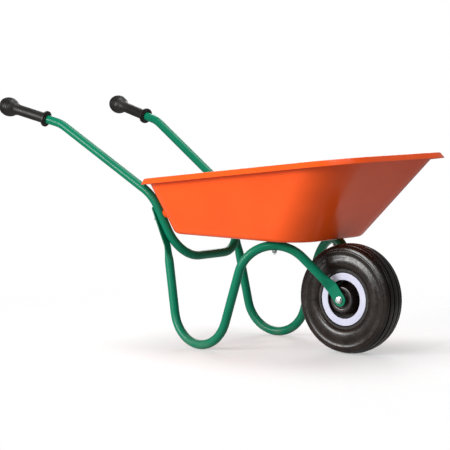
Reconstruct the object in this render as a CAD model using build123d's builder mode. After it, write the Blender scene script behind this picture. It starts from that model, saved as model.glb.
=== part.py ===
from build123d import *
import os
from math import atan2, cos, degrees, radians, sin, tan

# Single-wheel garden wheelbarrow. Millimetres, +X forward to the wheel, +Y to the left, +Z up.
# The origin is on the ground, at the middle of the overall length, in the centre plane.

# Overall sizes
OVERALL_LENGTH = 1507.0
RIM_AHEAD_OF_AXLE = 214.0
GROUND_Z = 0.0

# Wheel
TYRE_RADIUS = 180.0
TYRE_HALF_WIDTH = 48.5
TYRE_SHOULDER_RADIUS = 171.0
TYRE_SHOULDER_Y = 42.5
TYRE_BULGE_RADIUS = 122.0
TYRE_WALL_RADIUS = 150.0
TYRE_WALL_Y = 46.0
TYRE_WALL = 9.0
TREAD_GROOVES = (-30.0, -12.0, 12.0, 30.0)
GROOVE_WIDTH = 5.0
GROOVE_DEPTH = 4.0
RIM_FLANGE_RADIUS = 99.0
RIM_FLANGE_Y = 41.0
RIM_SEAT_RADIUS = 93.0
RIM_WALL = 4.0
BEAD_WIDTH = 13.0
DROP_CENTRE_RADIUS = 84.0
DROP_CENTRE_HALF_WIDTH = 12.0
WEB_HALF_THICKNESS = 4.0
HUB_RADIUS = 42.0
HUB_HALF_LENGTH = 54.0
RING_OUTER_RADIUS = 86.5
RING_INNER_RADIUS = 63.5
RING_FACE_Y = 40.0
RING_THICKNESS = 3.0
RING_RIB = 4.0

# Bought-in fasteners and bearings
BUSH_OUTER_RADIUS = 13.0
BUSH_LENGTH = 24.0
BUSH_FLANGE_RADIUS = 18.0
BUSH_FLANGE = 4.8
SLEEVE_RADIUS = 8.5
RUNNING_CLEARANCE = 0.05
END_FLOAT = 0.7
AXLE_BOLT_RADIUS = 6.0
AXLE_HEX_AF = 19.0
AXLE_HEAD = 7.5
AXLE_NUT = 10.0
AXLE_WASHER = 2.5
AXLE_WASHER_RADIUS = 12.0
BOLT_RADIUS = 4.0
BOLT_HEX_AF = 13.0
BOLT_HEAD_RADIUS = 10.0
BOLT_HEAD = 4.5
BOLT_NUT = 6.5
BOLT_WASHER = 1.6
BOLT_WASHER_RADIUS = 8.5
BOLT_END = 5.0
HOLE_CLEARANCE = 0.25
BOLT_SEAT_RADIUS = 14.0
BOLT_SEAT_DEPTH = 20.0
THREAD_CLEARANCE = 0.05
HEX_CHAMFER = 1.0

# Tubes
TUBE_RADIUS = 15.0
TUBE_WALL = 1.5
SEAT_GAP = 0.3
PRESS_ARC = 40.0
PLATE_CORNER = 9.0
TOP_PLATE_WIDTH = 32.0
AXLE_PLATE_WIDTH = 44.0
PLATE_THICKNESS = 5.0
PLATE_LENGTH = 48.0
PLATE_CAVITY = 1.0
FLATTENING_LENGTH = 55.0

# Handles: heights and half spans of the bends, counted from the grip to the crossbar
GRIP_END_HALF_SPAN = 293.0
GRIP_END_Z = 810.5
GRIP_END_INSET = 4.4
GRIP_BEND_BEHIND_RIM = 335.0
GRIP_BEND_HALF_SPAN = 254.6
GRIP_BEND_Z = 744.5
RIM_BEND_HALF_SPAN = 199.5
RIM_BEND_Z = 504.0
CROSSBAR_HALF_SPAN = 167.0
CROSSBAR_Z = 296.0
GRIP_BEND_RADIUS = 128.0
RIM_BEND_RADIUS = 140.0
CROSSBAR_BEND_RADIUS = 117.0

# Legs
LEG_TOP_Z = 466.0
LEG_SET_Z = 334.0
LEG_TOP_HALF_SPAN = 188.0
LEG_FOOT_AHEAD_OF_FLOOR = 140.5
LEG_FOOT_HALF_SPAN = 213.7
LEG_FOOT_BEND_RADIUS = 119.5
ARCH_BEHIND_AXLE = 182.5
ARCH_HALF_SPAN = 168.6
ARCH_BEND_RADIUS = 125.0
ARCH_TOP_Z = 355.5
REAR_BOLT_Z = 436.0
SOLVER_STEPS = 60

# Grips, distances along the handle from the outer end
GRIP_LENGTH = 200.0
GRIP_KNOB_RADIUS = 33.5
GRIP_KNOB_CENTRE = 31.0
GRIP_BODY_RADIUS = 18.5
GRIP_FLANGE_RADIUS = 28.0
GRIP_FLANGE_START = 188.0
GRIP_FLANGE_END = 196.0
GRIP_BORE_DEPTH = 182.0
GRIP_CLEARANCE = 0.15
GRIP_MOUTH_RADIUS = 22.0
GRIP_TAIL_RADIUS = 21.0
GRIP_NECK = 78.0
GRIP_RIDGES = (16.0, 24.0, 32.0, 40.0)
RIDGE_WIDTH = 3.0
RIDGE_DEPTH = 1.6

# Tray
TRAY_WALL = 1.2
RIM_LENGTH = 921.5
RIM_REAR_Z = 559.0
RIM_FRONT_Z = 653.5
RIM_REAR_HALF_WIDTH = 284.0
RIM_FRONT_HALF_WIDTH = 362.0
RIM_REAR_CORNER = 108.0
RIM_FRONT_CORNER = 170.0
FLANGE_WIDTH = 25.0
LIP_HEIGHT = 18.0
LIP_FLARE = 13.0
FLOOR_SETBACK = 104.0
FLOOR_LENGTH = 550.0
FLOOR_TILT = 1.0
FLOOR_REAR_HALF_WIDTH = 204.0
FLOOR_FRONT_HALF_WIDTH = 224.0
FLOOR_REAR_CORNER = 62.0
FLOOR_FRONT_CORNER = 118.0
FLOOR_FILLET = 24.0

# Derived places
HALF_LENGTH = OVERALL_LENGTH / 2
AXLE_X = HALF_LENGTH - RIM_AHEAD_OF_AXLE
AXLE_Z = GROUND_Z + TYRE_RADIUS
RIM_REAR_X = HALF_LENGTH - RIM_LENGTH
RIM_TILT = degrees(atan2(RIM_FRONT_Z - RIM_REAR_Z, RIM_LENGTH))
FLOOR_REAR_X = RIM_REAR_X + FLOOR_SETBACK
GRIP_BEND_X = RIM_REAR_X - GRIP_BEND_BEHIND_RIM
LEG_FOOT_X = FLOOR_REAR_X + LEG_FOOT_AHEAD_OF_FLOOR
ARCH_X = AXLE_X - ARCH_BEHIND_AXLE
TUBE_OFFSET = TUBE_RADIUS + SEAT_GAP
ARCH_INNER_RADIUS = ARCH_BEND_RADIUS - TUBE_RADIUS
WASHER_SAG = ARCH_INNER_RADIUS - (ARCH_INNER_RADIUS**2 - BOLT_WASHER_RADIUS**2) ** 0.5
PLATE_INNER_Y = HUB_HALF_LENGTH + BUSH_FLANGE + END_FLOAT
PLATE_Y = PLATE_INNER_Y + PLATE_THICKNESS / 2
PLATE_OUTER_Y = PLATE_INNER_Y + PLATE_THICKNESS
RIGHT = -1
LEFT = 1
SIDES = (RIGHT, LEFT)
AXLE_AXIS = Axis((AXLE_X, 0, AXLE_Z), (0, 1, 0))


def tilted_plane(x, z, tilt):
    """Plane across the barrow through (x, 0, z), its own X forward and raised by tilt degrees."""
    forward = (cos(radians(tilt)), 0, sin(radians(tilt)))
    upward = (-sin(radians(tilt)), 0, cos(radians(tilt)))
    return Plane(origin=(x, 0, z), x_dir=forward, z_dir=upward)


def bend_extreme(before, corner, after, radius, direction):
    """Point of a filleted corner that lies furthest along direction."""
    to_before = (before - corner).normalized()
    to_after = (after - corner).normalized()
    half_angle = radians(to_before.get_angle(to_after)) / 2
    centre = corner + (to_before + to_after).normalized() * (radius / sin(half_angle))
    normal = to_before.cross(to_after).normalized()
    in_plane = (direction - normal * direction.dot(normal)).normalized()
    return centre + in_plane * radius


UP = Vector(0, 0, 1)
DOWN = Vector(0, 0, -1)


def rim_z(x):
    """Height of the flange's top face."""
    return RIM_REAR_Z + (x - RIM_REAR_X) * tan(radians(RIM_TILT))


def leg_axle_end(arch):
    """Right leg: point where the flattened end begins, on the line from the arch's corner to the axle."""
    run = Vector(AXLE_X - arch.X, 0, AXLE_Z - arch.Z).normalized()
    return Vector(AXLE_X, -PLATE_Y, AXLE_Z) - run * PLATE_LENGTH


def leg_corners(set_point):
    """Right leg: corners that bring the foot's lowest point and the arch's highest point to their places."""
    foot_point = Vector(LEG_FOOT_X, -LEG_FOOT_HALF_SPAN, GROUND_Z + TUBE_RADIUS)
    crest_point = Vector(ARCH_X, -ARCH_HALF_SPAN, ARCH_TOP_Z)
    foot = foot_point + DOWN * LEG_FOOT_BEND_RADIUS
    arch = crest_point + UP * ARCH_BEND_RADIUS
    for _ in range(SOLVER_STEPS):
        foot = foot + foot_point - bend_extreme(set_point, foot, arch, LEG_FOOT_BEND_RADIUS, DOWN)
        end = leg_axle_end(arch)
        arch = arch + crest_point - bend_extreme(foot, arch, end, ARCH_BEND_RADIUS, UP)
    return foot, arch


# The floor rests on the arches, and the rear wall leans from the floor's rear edge to the rim.
FLOOR_REAR_Z = (
    ARCH_TOP_Z + TUBE_OFFSET / cos(radians(FLOOR_TILT)) + (ARCH_X - FLOOR_REAR_X) * tan(radians(FLOOR_TILT))
)
WALL_TOP_X = RIM_REAR_X + FLANGE_WIDTH
WALL_LEAN = degrees(atan2(FLOOR_REAR_X - WALL_TOP_X, rim_z(WALL_TOP_X) - FLOOR_REAR_Z))
WALL_NORMAL = Vector(-cos(radians(WALL_LEAN)), 0, -sin(radians(WALL_LEAN)))


def behind_wall(y, z, distance):
    """Point at height z on a plane parallel to the rear wall, at a distance behind its outer face."""
    wall_x = FLOOR_REAR_X - (z - FLOOR_REAR_Z) * tan(radians(WALL_LEAN))
    return Vector(wall_x - distance / cos(radians(WALL_LEAN)), y, z)


LEG_OFFSET = 2 * TUBE_OFFSET + PLATE_THICKNESS / 2
LEG_SET = behind_wall(-LEG_TOP_HALF_SPAN, LEG_SET_Z, LEG_OFFSET)
LEG_TOP = behind_wall(-LEG_TOP_HALF_SPAN, LEG_TOP_Z, LEG_OFFSET)
LEG_FOOT, LEG_ARCH = leg_corners(LEG_SET)
LEG_AXLE_END = leg_axle_end(LEG_ARCH)
FLOOR_PLANE = tilted_plane(FLOOR_REAR_X, FLOOR_REAR_Z, -FLOOR_TILT)
RIM_PLANE = tilted_plane(RIM_REAR_X, RIM_REAR_Z, RIM_TILT)


def handle_points(side):
    """Corners of the handle tube on one side, from the grip's outer end to the crossbar."""
    grip_end = Vector(-HALF_LENGTH + GRIP_END_INSET, side * GRIP_END_HALF_SPAN, GRIP_END_Z)
    grip_bend = Vector(GRIP_BEND_X, side * GRIP_BEND_HALF_SPAN, GRIP_BEND_Z)
    rim_bend = behind_wall(side * RIM_BEND_HALF_SPAN, RIM_BEND_Z, TUBE_OFFSET)
    crossbar_end = behind_wall(side * CROSSBAR_HALF_SPAN, CROSSBAR_Z, TUBE_OFFSET)
    return grip_end, grip_bend, rim_bend, crossbar_end


def mirrored(point):
    """The same point on the other side of the centre plane."""
    return Vector(point.X, -point.Y, point.Z)


def trapezoid(length, rear_half, front_half, rear_corner, front_corner):
    """Rounded trapezoid in a sketch, its rear edge on the sketch's Y axis."""
    Polygon(
        (0, -rear_half),
        (length, -front_half),
        (length, front_half),
        (0, rear_half),
        align=None,
    )
    fillet(vertices().sort_by(Axis.X)[:2], rear_corner)
    fillet(vertices().sort_by(Axis.X)[-2:], front_corner)


def tray_shape(inset, lift):
    """Closed bowl between the floor outline and the rim outline, both set in by inset."""
    floor_plane = FLOOR_PLANE.offset(lift)
    rim_inset = FLANGE_WIDTH + inset
    slope = (RIM_FRONT_HALF_WIDTH - RIM_REAR_HALF_WIDTH) / RIM_LENGTH
    floor_slope = (FLOOR_FRONT_HALF_WIDTH - FLOOR_REAR_HALF_WIDTH) / FLOOR_LENGTH
    rim_run = RIM_LENGTH / cos(radians(RIM_TILT))
    with BuildPart() as bowl:
        with BuildSketch(floor_plane.shift_origin(floor_plane.from_local_coords((inset, 0, 0)))):
            trapezoid(
                FLOOR_LENGTH - 2 * inset,
                FLOOR_REAR_HALF_WIDTH - inset + inset * floor_slope,
                FLOOR_FRONT_HALF_WIDTH - inset - inset * floor_slope,
                FLOOR_REAR_CORNER - inset,
                FLOOR_FRONT_CORNER - inset,
            )
        with BuildSketch(RIM_PLANE.shift_origin(RIM_PLANE.from_local_coords((rim_inset, 0, 0)))):
            trapezoid(
                rim_run - 2 * rim_inset,
                RIM_REAR_HALF_WIDTH - rim_inset + rim_inset * slope,
                RIM_FRONT_HALF_WIDTH - rim_inset - rim_inset * slope,
                RIM_REAR_CORNER - rim_inset,
                RIM_FRONT_CORNER - rim_inset,
            )
        loft(ruled=True)
        floor_edges = bowl.faces().sort_by(Axis.Z)[0].edges()
        fillet(floor_edges, FLOOR_FILLET - inset)
    return bowl.part


def rim_block(inset, drop):
    """Solid under the rim: flat top outline, widening down to the lip's lower edge."""
    rim_run = RIM_LENGTH / cos(radians(RIM_TILT))
    with BuildPart() as block:
        for edge_inset, depth in ((LIP_FLARE, 0), (0, LIP_HEIGHT)):
            with BuildSketch(RIM_PLANE.offset(-depth - drop)):
                trapezoid(
                    rim_run, RIM_REAR_HALF_WIDTH, RIM_FRONT_HALF_WIDTH, RIM_REAR_CORNER, RIM_FRONT_CORNER
                )
                offset(amount=-edge_inset - inset, mode=Mode.REPLACE)
        loft(ruled=True)
    return block.part


def make_tray():
    """Pressed-steel tray: floor, four flared walls, outward flange and a lip that slants down and out."""
    lip_angle = atan2(LIP_FLARE, LIP_HEIGHT)
    lip_inset = TRAY_WALL * (1 - sin(lip_angle)) / cos(lip_angle)
    outside = tray_shape(0, 0)
    inside = tray_shape(TRAY_WALL, TRAY_WALL)
    rim = rim_block(0, 0)
    under_rim = rim_block(lip_inset, TRAY_WALL)
    with BuildPart() as tray:
        add(rim)
        add(under_rim, mode=Mode.SUBTRACT)
        add(outside)
        for side in SIDES:
            with BuildSketch(rear_bolt_plane(side)):
                Circle(BOLT_SEAT_RADIUS)
            extrude(amount=BOLT_SEAT_DEPTH)
        add(inside, mode=Mode.SUBTRACT)
        for side in SIDES:
            with BuildSketch(rear_bolt_plane(side).offset(TRAY_WALL)):
                Circle(BOLT_SEAT_RADIUS - TRAY_WALL)
            extrude(amount=BOLT_SEAT_DEPTH, mode=Mode.SUBTRACT)
            with BuildSketch(rear_bolt_plane(side)):
                Circle(BOLT_RADIUS + HOLE_CLEARANCE)
            extrude(amount=2 * TRAY_WALL, both=True, mode=Mode.SUBTRACT)
            with BuildSketch(floor_bolt_plane(side)):
                Circle(BOLT_RADIUS + HOLE_CLEARANCE)
            extrude(amount=2 * TRAY_WALL, both=True, mode=Mode.SUBTRACT)
    return tray.part


def rear_bolt_plane(side):
    """Plane on the rear wall's outer face at a rear bolt, its normal into the tray."""
    _, _, rim_bend, crossbar_end = handle_points(side)
    share = (REAR_BOLT_Z - crossbar_end.Z) / (rim_bend.Z - crossbar_end.Z)
    on_tube = crossbar_end + (rim_bend - crossbar_end) * share
    return Plane(origin=on_tube - WALL_NORMAL * TUBE_OFFSET, x_dir=(0, 1, 0), z_dir=-WALL_NORMAL)


def floor_bolt_plane(side):
    """Plane on the floor's underside above an arch, its normal into the tray."""
    crest = Vector(ARCH_X, side * ARCH_HALF_SPAN, ARCH_TOP_Z)
    above = FLOOR_PLANE.z_dir * TUBE_OFFSET
    return Plane(origin=crest + above, x_dir=(0, 1, 0), z_dir=FLOOR_PLANE.z_dir)


def pipe(points, radii, radius):
    """Solid round bar along straight runs joined by tangent arcs."""
    start = Plane(origin=points[0], z_dir=points[1] - points[0])
    with BuildPart() as bar:
        with BuildLine():
            FilletPolyline(*points, radius=radii)
        with BuildSketch(start):
            Circle(radius)
        sweep()
    return bar.part


def make_handle_tube():
    """One bent tube from the right grip, down behind the tray, across below it and up to the left grip."""
    right = handle_points(RIGHT)
    inwards = (right[1] - right[0]).normalized() * (GRIP_LENGTH - GRIP_BORE_DEPTH + GRIP_CLEARANCE)
    half = [right[0] + inwards, *right[1:]]
    points = half + [mirrored(point) for point in reversed(half)]
    bends = [GRIP_BEND_RADIUS, RIM_BEND_RADIUS, CROSSBAR_BEND_RADIUS]
    radii = bends + bends[::-1]
    outside = pipe(points, radii, TUBE_RADIUS)
    inside = pipe(points, radii, TUBE_RADIUS - TUBE_WALL)
    with BuildPart() as handle_tube:
        add(outside)
        add(inside, mode=Mode.SUBTRACT)
        for side in SIDES:
            with BuildSketch(rear_bolt_plane(side)):
                Circle(BOLT_RADIUS + HOLE_CLEARANCE)
            extrude(amount=-2 * TUBE_OFFSET - TUBE_WALL, mode=Mode.SUBTRACT)
    return handle_tube.part


def section_plane(origin, normal, across):
    """Plane at origin along normal, its X as near to across as it can be."""
    forward = normal.normalized()
    return Plane(origin=origin, x_dir=across - forward * across.dot(forward), z_dir=forward)


def pressed_end(round_plane, flat_plane, radius, width, thickness):
    """Tube end pressed from a circle to a flat rectangle, the circle drawn as four arcs to match."""
    with BuildPart() as pressing:
        with BuildSketch(round_plane):
            with BuildLine():
                CenterArc((0, 0), radius, -PRESS_ARC / 2, PRESS_ARC)
                CenterArc((0, 0), radius, PRESS_ARC / 2, 180 - PRESS_ARC)
                CenterArc((0, 0), radius, 180 - PRESS_ARC / 2, PRESS_ARC)
                CenterArc((0, 0), radius, 180 + PRESS_ARC / 2, 180 - PRESS_ARC)
            make_face()
        with BuildSketch(flat_plane):
            Rectangle(width, thickness)
        loft()
    return pressing.part


def leg_body(radius, top_width, axle_width, thickness):
    """Right leg's solid shape without its end plates: two pressed ends and the round run between them."""
    down = (LEG_FOOT - LEG_SET).normalized()
    round_top = LEG_SET + down * FLATTENING_LENGTH
    towards_axle = (LEG_AXLE_END - LEG_ARCH).normalized()
    round_end = LEG_AXLE_END - towards_axle * FLATTENING_LENGTH
    sideways = Vector(0, 1, 0)
    plate_run = (Vector(AXLE_X, -PLATE_Y, AXLE_Z) - LEG_AXLE_END).normalized()
    across_plate = plate_run.cross(sideways)
    run = pipe(
        [round_top, LEG_FOOT, LEG_ARCH, round_end], [LEG_FOOT_BEND_RADIUS, ARCH_BEND_RADIUS], radius
    )
    top = pressed_end(
        section_plane(round_top, down, sideways),
        section_plane(LEG_SET, LEG_SET - LEG_TOP, sideways),
        radius,
        top_width,
        thickness,
    )
    end = pressed_end(
        section_plane(round_end, towards_axle, across_plate),
        section_plane(LEG_AXLE_END, plate_run, across_plate),
        radius,
        axle_width,
        thickness,
    )
    with BuildPart() as body:
        add(run)
        add(top)
        add(end)
    return body.part


def make_right_leg():
    """Leg tube: flat top behind the handle tube, loop on the ground, arch under the tray, flat axle end."""
    walls = 2 * TUBE_WALL
    outside = leg_body(TUBE_RADIUS, TOP_PLATE_WIDTH, AXLE_PLATE_WIDTH, PLATE_THICKNESS)
    inside = leg_body(
        TUBE_RADIUS - TUBE_WALL, TOP_PLATE_WIDTH - walls, AXLE_PLATE_WIDTH - walls, PLATE_CAVITY
    )
    up_wall = (LEG_TOP - LEG_SET).normalized()
    plate_run = (Vector(AXLE_X, -PLATE_Y, AXLE_Z) - LEG_AXLE_END).normalized()
    with BuildPart() as leg_tube:
        add(outside)
        add(inside, mode=Mode.SUBTRACT)
        with BuildSketch(Plane(origin=LEG_SET, x_dir=up_wall, z_dir=WALL_NORMAL)):
            Rectangle((LEG_TOP - LEG_SET).length, TOP_PLATE_WIDTH, align=(Align.MIN, Align.CENTER))
            fillet(vertices().sort_by(Axis.X)[-2:], PLATE_CORNER)
        extrude(amount=PLATE_THICKNESS / 2, both=True)
        with BuildSketch(Plane(origin=LEG_AXLE_END, x_dir=plate_run, z_dir=(0, 1, 0))):
            Rectangle(PLATE_LENGTH, AXLE_PLATE_WIDTH, align=(Align.MIN, Align.CENTER))
            with Locations((PLATE_LENGTH, 0)):
                Circle(AXLE_PLATE_WIDTH / 2)
                Circle(AXLE_BOLT_RADIUS + HOLE_CLEARANCE, mode=Mode.SUBTRACT)
        extrude(amount=PLATE_THICKNESS / 2, both=True)
        with BuildSketch(rear_bolt_plane(RIGHT)):
            Circle(BOLT_RADIUS + HOLE_CLEARANCE)
        extrude(amount=-LEG_OFFSET - PLATE_THICKNESS, mode=Mode.SUBTRACT)
        with BuildSketch(floor_bolt_plane(RIGHT)):
            Circle(BOLT_RADIUS + HOLE_CLEARANCE)
        extrude(amount=-2 * TUBE_OFFSET - TUBE_WALL, mode=Mode.SUBTRACT)
    return leg_tube.part


def make_right_grip():
    """Black grip: ridged knob, conical neck, body, flange and a blind bore for the handle tube."""
    end, bend, _, _ = handle_points(RIGHT)
    along = (bend - end).normalized()
    side_plane = Plane(origin=end, x_dir=along, z_dir=along.cross(UP))
    axis = Axis(end, along)
    bore = TUBE_RADIUS + GRIP_CLEARANCE
    bore_start = GRIP_LENGTH - GRIP_BORE_DEPTH
    with BuildPart() as grip:
        with BuildSketch(side_plane):
            with BuildLine():
                Line((bore_start, 0), (0, 0))
                Line((0, 0), (0, GRIP_TAIL_RADIUS))
                ThreePointArc(
                    (0, GRIP_TAIL_RADIUS),
                    (GRIP_KNOB_CENTRE, GRIP_KNOB_RADIUS),
                    (2 * GRIP_KNOB_CENTRE, GRIP_TAIL_RADIUS),
                )
                Line((2 * GRIP_KNOB_CENTRE, GRIP_TAIL_RADIUS), (GRIP_NECK, GRIP_BODY_RADIUS))
                Line((GRIP_NECK, GRIP_BODY_RADIUS), (GRIP_FLANGE_START, GRIP_BODY_RADIUS))
                Line((GRIP_FLANGE_START, GRIP_BODY_RADIUS), (GRIP_FLANGE_START, GRIP_FLANGE_RADIUS))
                Line((GRIP_FLANGE_START, GRIP_FLANGE_RADIUS), (GRIP_FLANGE_END, GRIP_FLANGE_RADIUS))
                Line((GRIP_FLANGE_END, GRIP_FLANGE_RADIUS), (GRIP_FLANGE_END, GRIP_MOUTH_RADIUS))
                Line((GRIP_FLANGE_END, GRIP_MOUTH_RADIUS), (GRIP_LENGTH, GRIP_MOUTH_RADIUS))
                Line((GRIP_LENGTH, GRIP_MOUTH_RADIUS), (GRIP_LENGTH, bore))
                Line((GRIP_LENGTH, bore), (bore_start, bore))
                Line((bore_start, bore), (bore_start, 0))
            make_face()
        revolve(axis=axis)
        for ridge in GRIP_RIDGES:
            with BuildSketch(Plane(origin=end + along * ridge, z_dir=along)):
                Circle(2 * GRIP_KNOB_RADIUS)
                Circle(knob_radius(ridge) - RIDGE_DEPTH, mode=Mode.SUBTRACT)
            extrude(amount=RIDGE_WIDTH, mode=Mode.SUBTRACT)
    return grip.part


def knob_radius(distance):
    """Radius of the grip's knob at a distance from its outer end."""
    rise = GRIP_KNOB_RADIUS - GRIP_TAIL_RADIUS
    arc_radius = (GRIP_KNOB_CENTRE**2 + rise**2) / (2 * rise)
    drop = arc_radius - (arc_radius**2 - (distance - GRIP_KNOB_CENTRE) ** 2) ** 0.5
    return GRIP_KNOB_RADIUS - drop


def bolt(plane, head_seat, end, radius, head_radius, head_height):
    """Mushroom-head bolt: head above head_seat on plane, shank down to end below it."""
    with BuildPart() as bolt_part:
        with BuildSketch(plane.offset(head_seat)):
            Circle(head_radius)
        extrude(amount=head_height)
        fillet(bolt_part.edges().sort_by(Axis(plane.origin, plane.z_dir))[-1], head_height - HEX_CHAMFER)
        with BuildSketch(plane.offset(head_seat)):
            Circle(radius)
        extrude(amount=-end - head_seat)
    return bolt_part.part


def washer(plane, start, thickness, inner, outer):
    """Flat washer from start down to start minus thickness on plane."""
    with BuildPart() as washer_part:
        with BuildSketch(plane.offset(start)):
            Circle(outer)
            Circle(inner, mode=Mode.SUBTRACT)
        extrude(amount=-thickness)
    return washer_part.part


def hex_body(plane, start, height, across_flats, bore):
    """Hexagon from start down to start minus height on plane, with a bore where bore is above zero."""
    with BuildPart() as hexagon:
        with BuildSketch(plane.offset(start)):
            RegularPolygon(across_flats / 2, 6, major_radius=False)
            if bore > 0:
                Circle(bore, mode=Mode.SUBTRACT)
        extrude(amount=-height)
        with BuildSketch(plane.offset(start)):
            Circle(across_flats / 2 + HEX_CHAMFER)
        extrude(amount=-height, mode=Mode.INTERSECT)
    return hexagon.part


def make_tray_fasteners():
    """Bolts, washers and nuts of the rear wall and of the floor, a pair of each."""
    bore = BOLT_RADIUS + THREAD_CLEARANCE
    hole = BOLT_RADIUS + HOLE_CLEARANCE
    head = (BOLT_RADIUS, BOLT_HEAD_RADIUS, BOLT_HEAD)
    groups = {}
    places = {
        "rear": (rear_bolt_plane, LEG_OFFSET + PLATE_THICKNESS / 2),
        "floor": (floor_bolt_plane, 2 * TUBE_OFFSET + WASHER_SAG),
    }
    for name, (plane_of, stack) in places.items():
        planes = [plane_of(side) for side in SIDES]
        nut_start = -stack - BOLT_WASHER
        end = stack + BOLT_WASHER + BOLT_NUT + BOLT_END
        groups[name + "_bolts"] = [bolt(plane, TRAY_WALL, end, *head) for plane in planes]
        groups[name + "_washers"] = [
            washer(plane, -stack, BOLT_WASHER, hole, BOLT_WASHER_RADIUS) for plane in planes
        ]
        groups[name + "_nuts"] = [
            hex_body(plane, nut_start, BOLT_NUT, BOLT_HEX_AF, bore) for plane in planes
        ]
    return groups


def axle_plane(side):
    """Plane across the axle on the centre plane, its normal out to one side."""
    return Plane(origin=(AXLE_X, 0, AXLE_Z), x_dir=(1, 0, 0), z_dir=(0, side, 0))


def make_axle_fasteners():
    """Axle bolt with its head on the right, nut on the left, a washer at each leg plate, and the sleeve."""
    washer_end = PLATE_OUTER_Y + AXLE_WASHER
    bolt_end = washer_end + AXLE_NUT + BOLT_END
    hole = AXLE_BOLT_RADIUS + HOLE_CLEARANCE
    head = hex_body(axle_plane(RIGHT), washer_end + AXLE_HEAD, AXLE_HEAD, AXLE_HEX_AF, 0)
    with BuildPart() as axle_bolt:
        add(head)
        with BuildSketch(axle_plane(RIGHT).offset(washer_end)):
            Circle(AXLE_BOLT_RADIUS)
        extrude(amount=-washer_end - bolt_end)
    nut = hex_body(
        axle_plane(LEFT), washer_end + AXLE_NUT, AXLE_NUT, AXLE_HEX_AF, AXLE_BOLT_RADIUS + THREAD_CLEARANCE
    )
    washers = [washer(axle_plane(side), washer_end, AXLE_WASHER, hole, AXLE_WASHER_RADIUS) for side in SIDES]
    sleeve = washer(axle_plane(RIGHT), PLATE_INNER_Y, 2 * PLATE_INNER_Y, hole, SLEEVE_RADIUS)
    return {
        "axle_bolt": [axle_bolt.part],
        "axle_nut": [nut],
        "axle_washers": washers,
        "axle_sleeve": [sleeve],
    }


WHEEL_PLANE = Plane(origin=(AXLE_X, 0, AXLE_Z), x_dir=(0, 1, 0), z_dir=(1, 0, 0))


def make_tyre():
    """Puncture-proof tyre: bulged walls, grooved crown, hollow inside and open to the rim at its beads."""
    bead_in = RIM_FLANGE_Y - RIM_WALL - BEAD_WIDTH
    bead_out = RIM_FLANGE_Y - RIM_WALL - SEAT_GAP
    seat = RIM_SEAT_RADIUS + SEAT_GAP
    cavity_y = TYRE_HALF_WIDTH - TYRE_WALL
    with BuildPart() as tyre:
        with BuildSketch(WHEEL_PLANE):
            with BuildLine():
                Line((bead_in, seat), (bead_out, seat))
                Line((bead_out, seat), (bead_out, RIM_FLANGE_RADIUS + SEAT_GAP))
                ThreePointArc(
                    (bead_out, RIM_FLANGE_RADIUS + SEAT_GAP),
                    (TYRE_HALF_WIDTH, TYRE_BULGE_RADIUS),
                    (TYRE_WALL_Y, TYRE_WALL_RADIUS),
                )
                Line((TYRE_WALL_Y, TYRE_WALL_RADIUS), (TYRE_SHOULDER_Y, TYRE_SHOULDER_RADIUS))
                ThreePointArc(
                    (TYRE_SHOULDER_Y, TYRE_SHOULDER_RADIUS),
                    (0, TYRE_RADIUS),
                    (-TYRE_SHOULDER_Y, TYRE_SHOULDER_RADIUS),
                )
                Line((-TYRE_SHOULDER_Y, TYRE_SHOULDER_RADIUS), (-TYRE_WALL_Y, TYRE_WALL_RADIUS))
                ThreePointArc(
                    (-TYRE_WALL_Y, TYRE_WALL_RADIUS),
                    (-TYRE_HALF_WIDTH, TYRE_BULGE_RADIUS),
                    (-bead_out, RIM_FLANGE_RADIUS + SEAT_GAP),
                )
                Line((-bead_out, RIM_FLANGE_RADIUS + SEAT_GAP), (-bead_out, seat))
                Line((-bead_out, seat), (-bead_in, seat))
                Line((-bead_in, seat), (-cavity_y, TYRE_BULGE_RADIUS))
                ThreePointArc(
                    (-cavity_y, TYRE_BULGE_RADIUS),
                    (0, TYRE_SHOULDER_RADIUS - TYRE_WALL),
                    (cavity_y, TYRE_BULGE_RADIUS),
                )
                Line((cavity_y, TYRE_BULGE_RADIUS), (bead_in, seat))
            make_face()
            for groove in TREAD_GROOVES:
                crown = TYRE_RADIUS - crown_drop(groove)
                with Locations((groove, crown)):
                    Rectangle(GROOVE_WIDTH, 2 * GROOVE_DEPTH, mode=Mode.SUBTRACT)
        revolve(axis=AXLE_AXIS)
    return tyre.part


def crown_drop(y):
    """How far the tyre's crown lies below its middle at a distance y across."""
    drop = TYRE_RADIUS - TYRE_SHOULDER_RADIUS
    arc_radius = (TYRE_SHOULDER_Y**2 + drop**2) / (2 * drop)
    return arc_radius - (arc_radius**2 - y**2) ** 0.5


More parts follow.
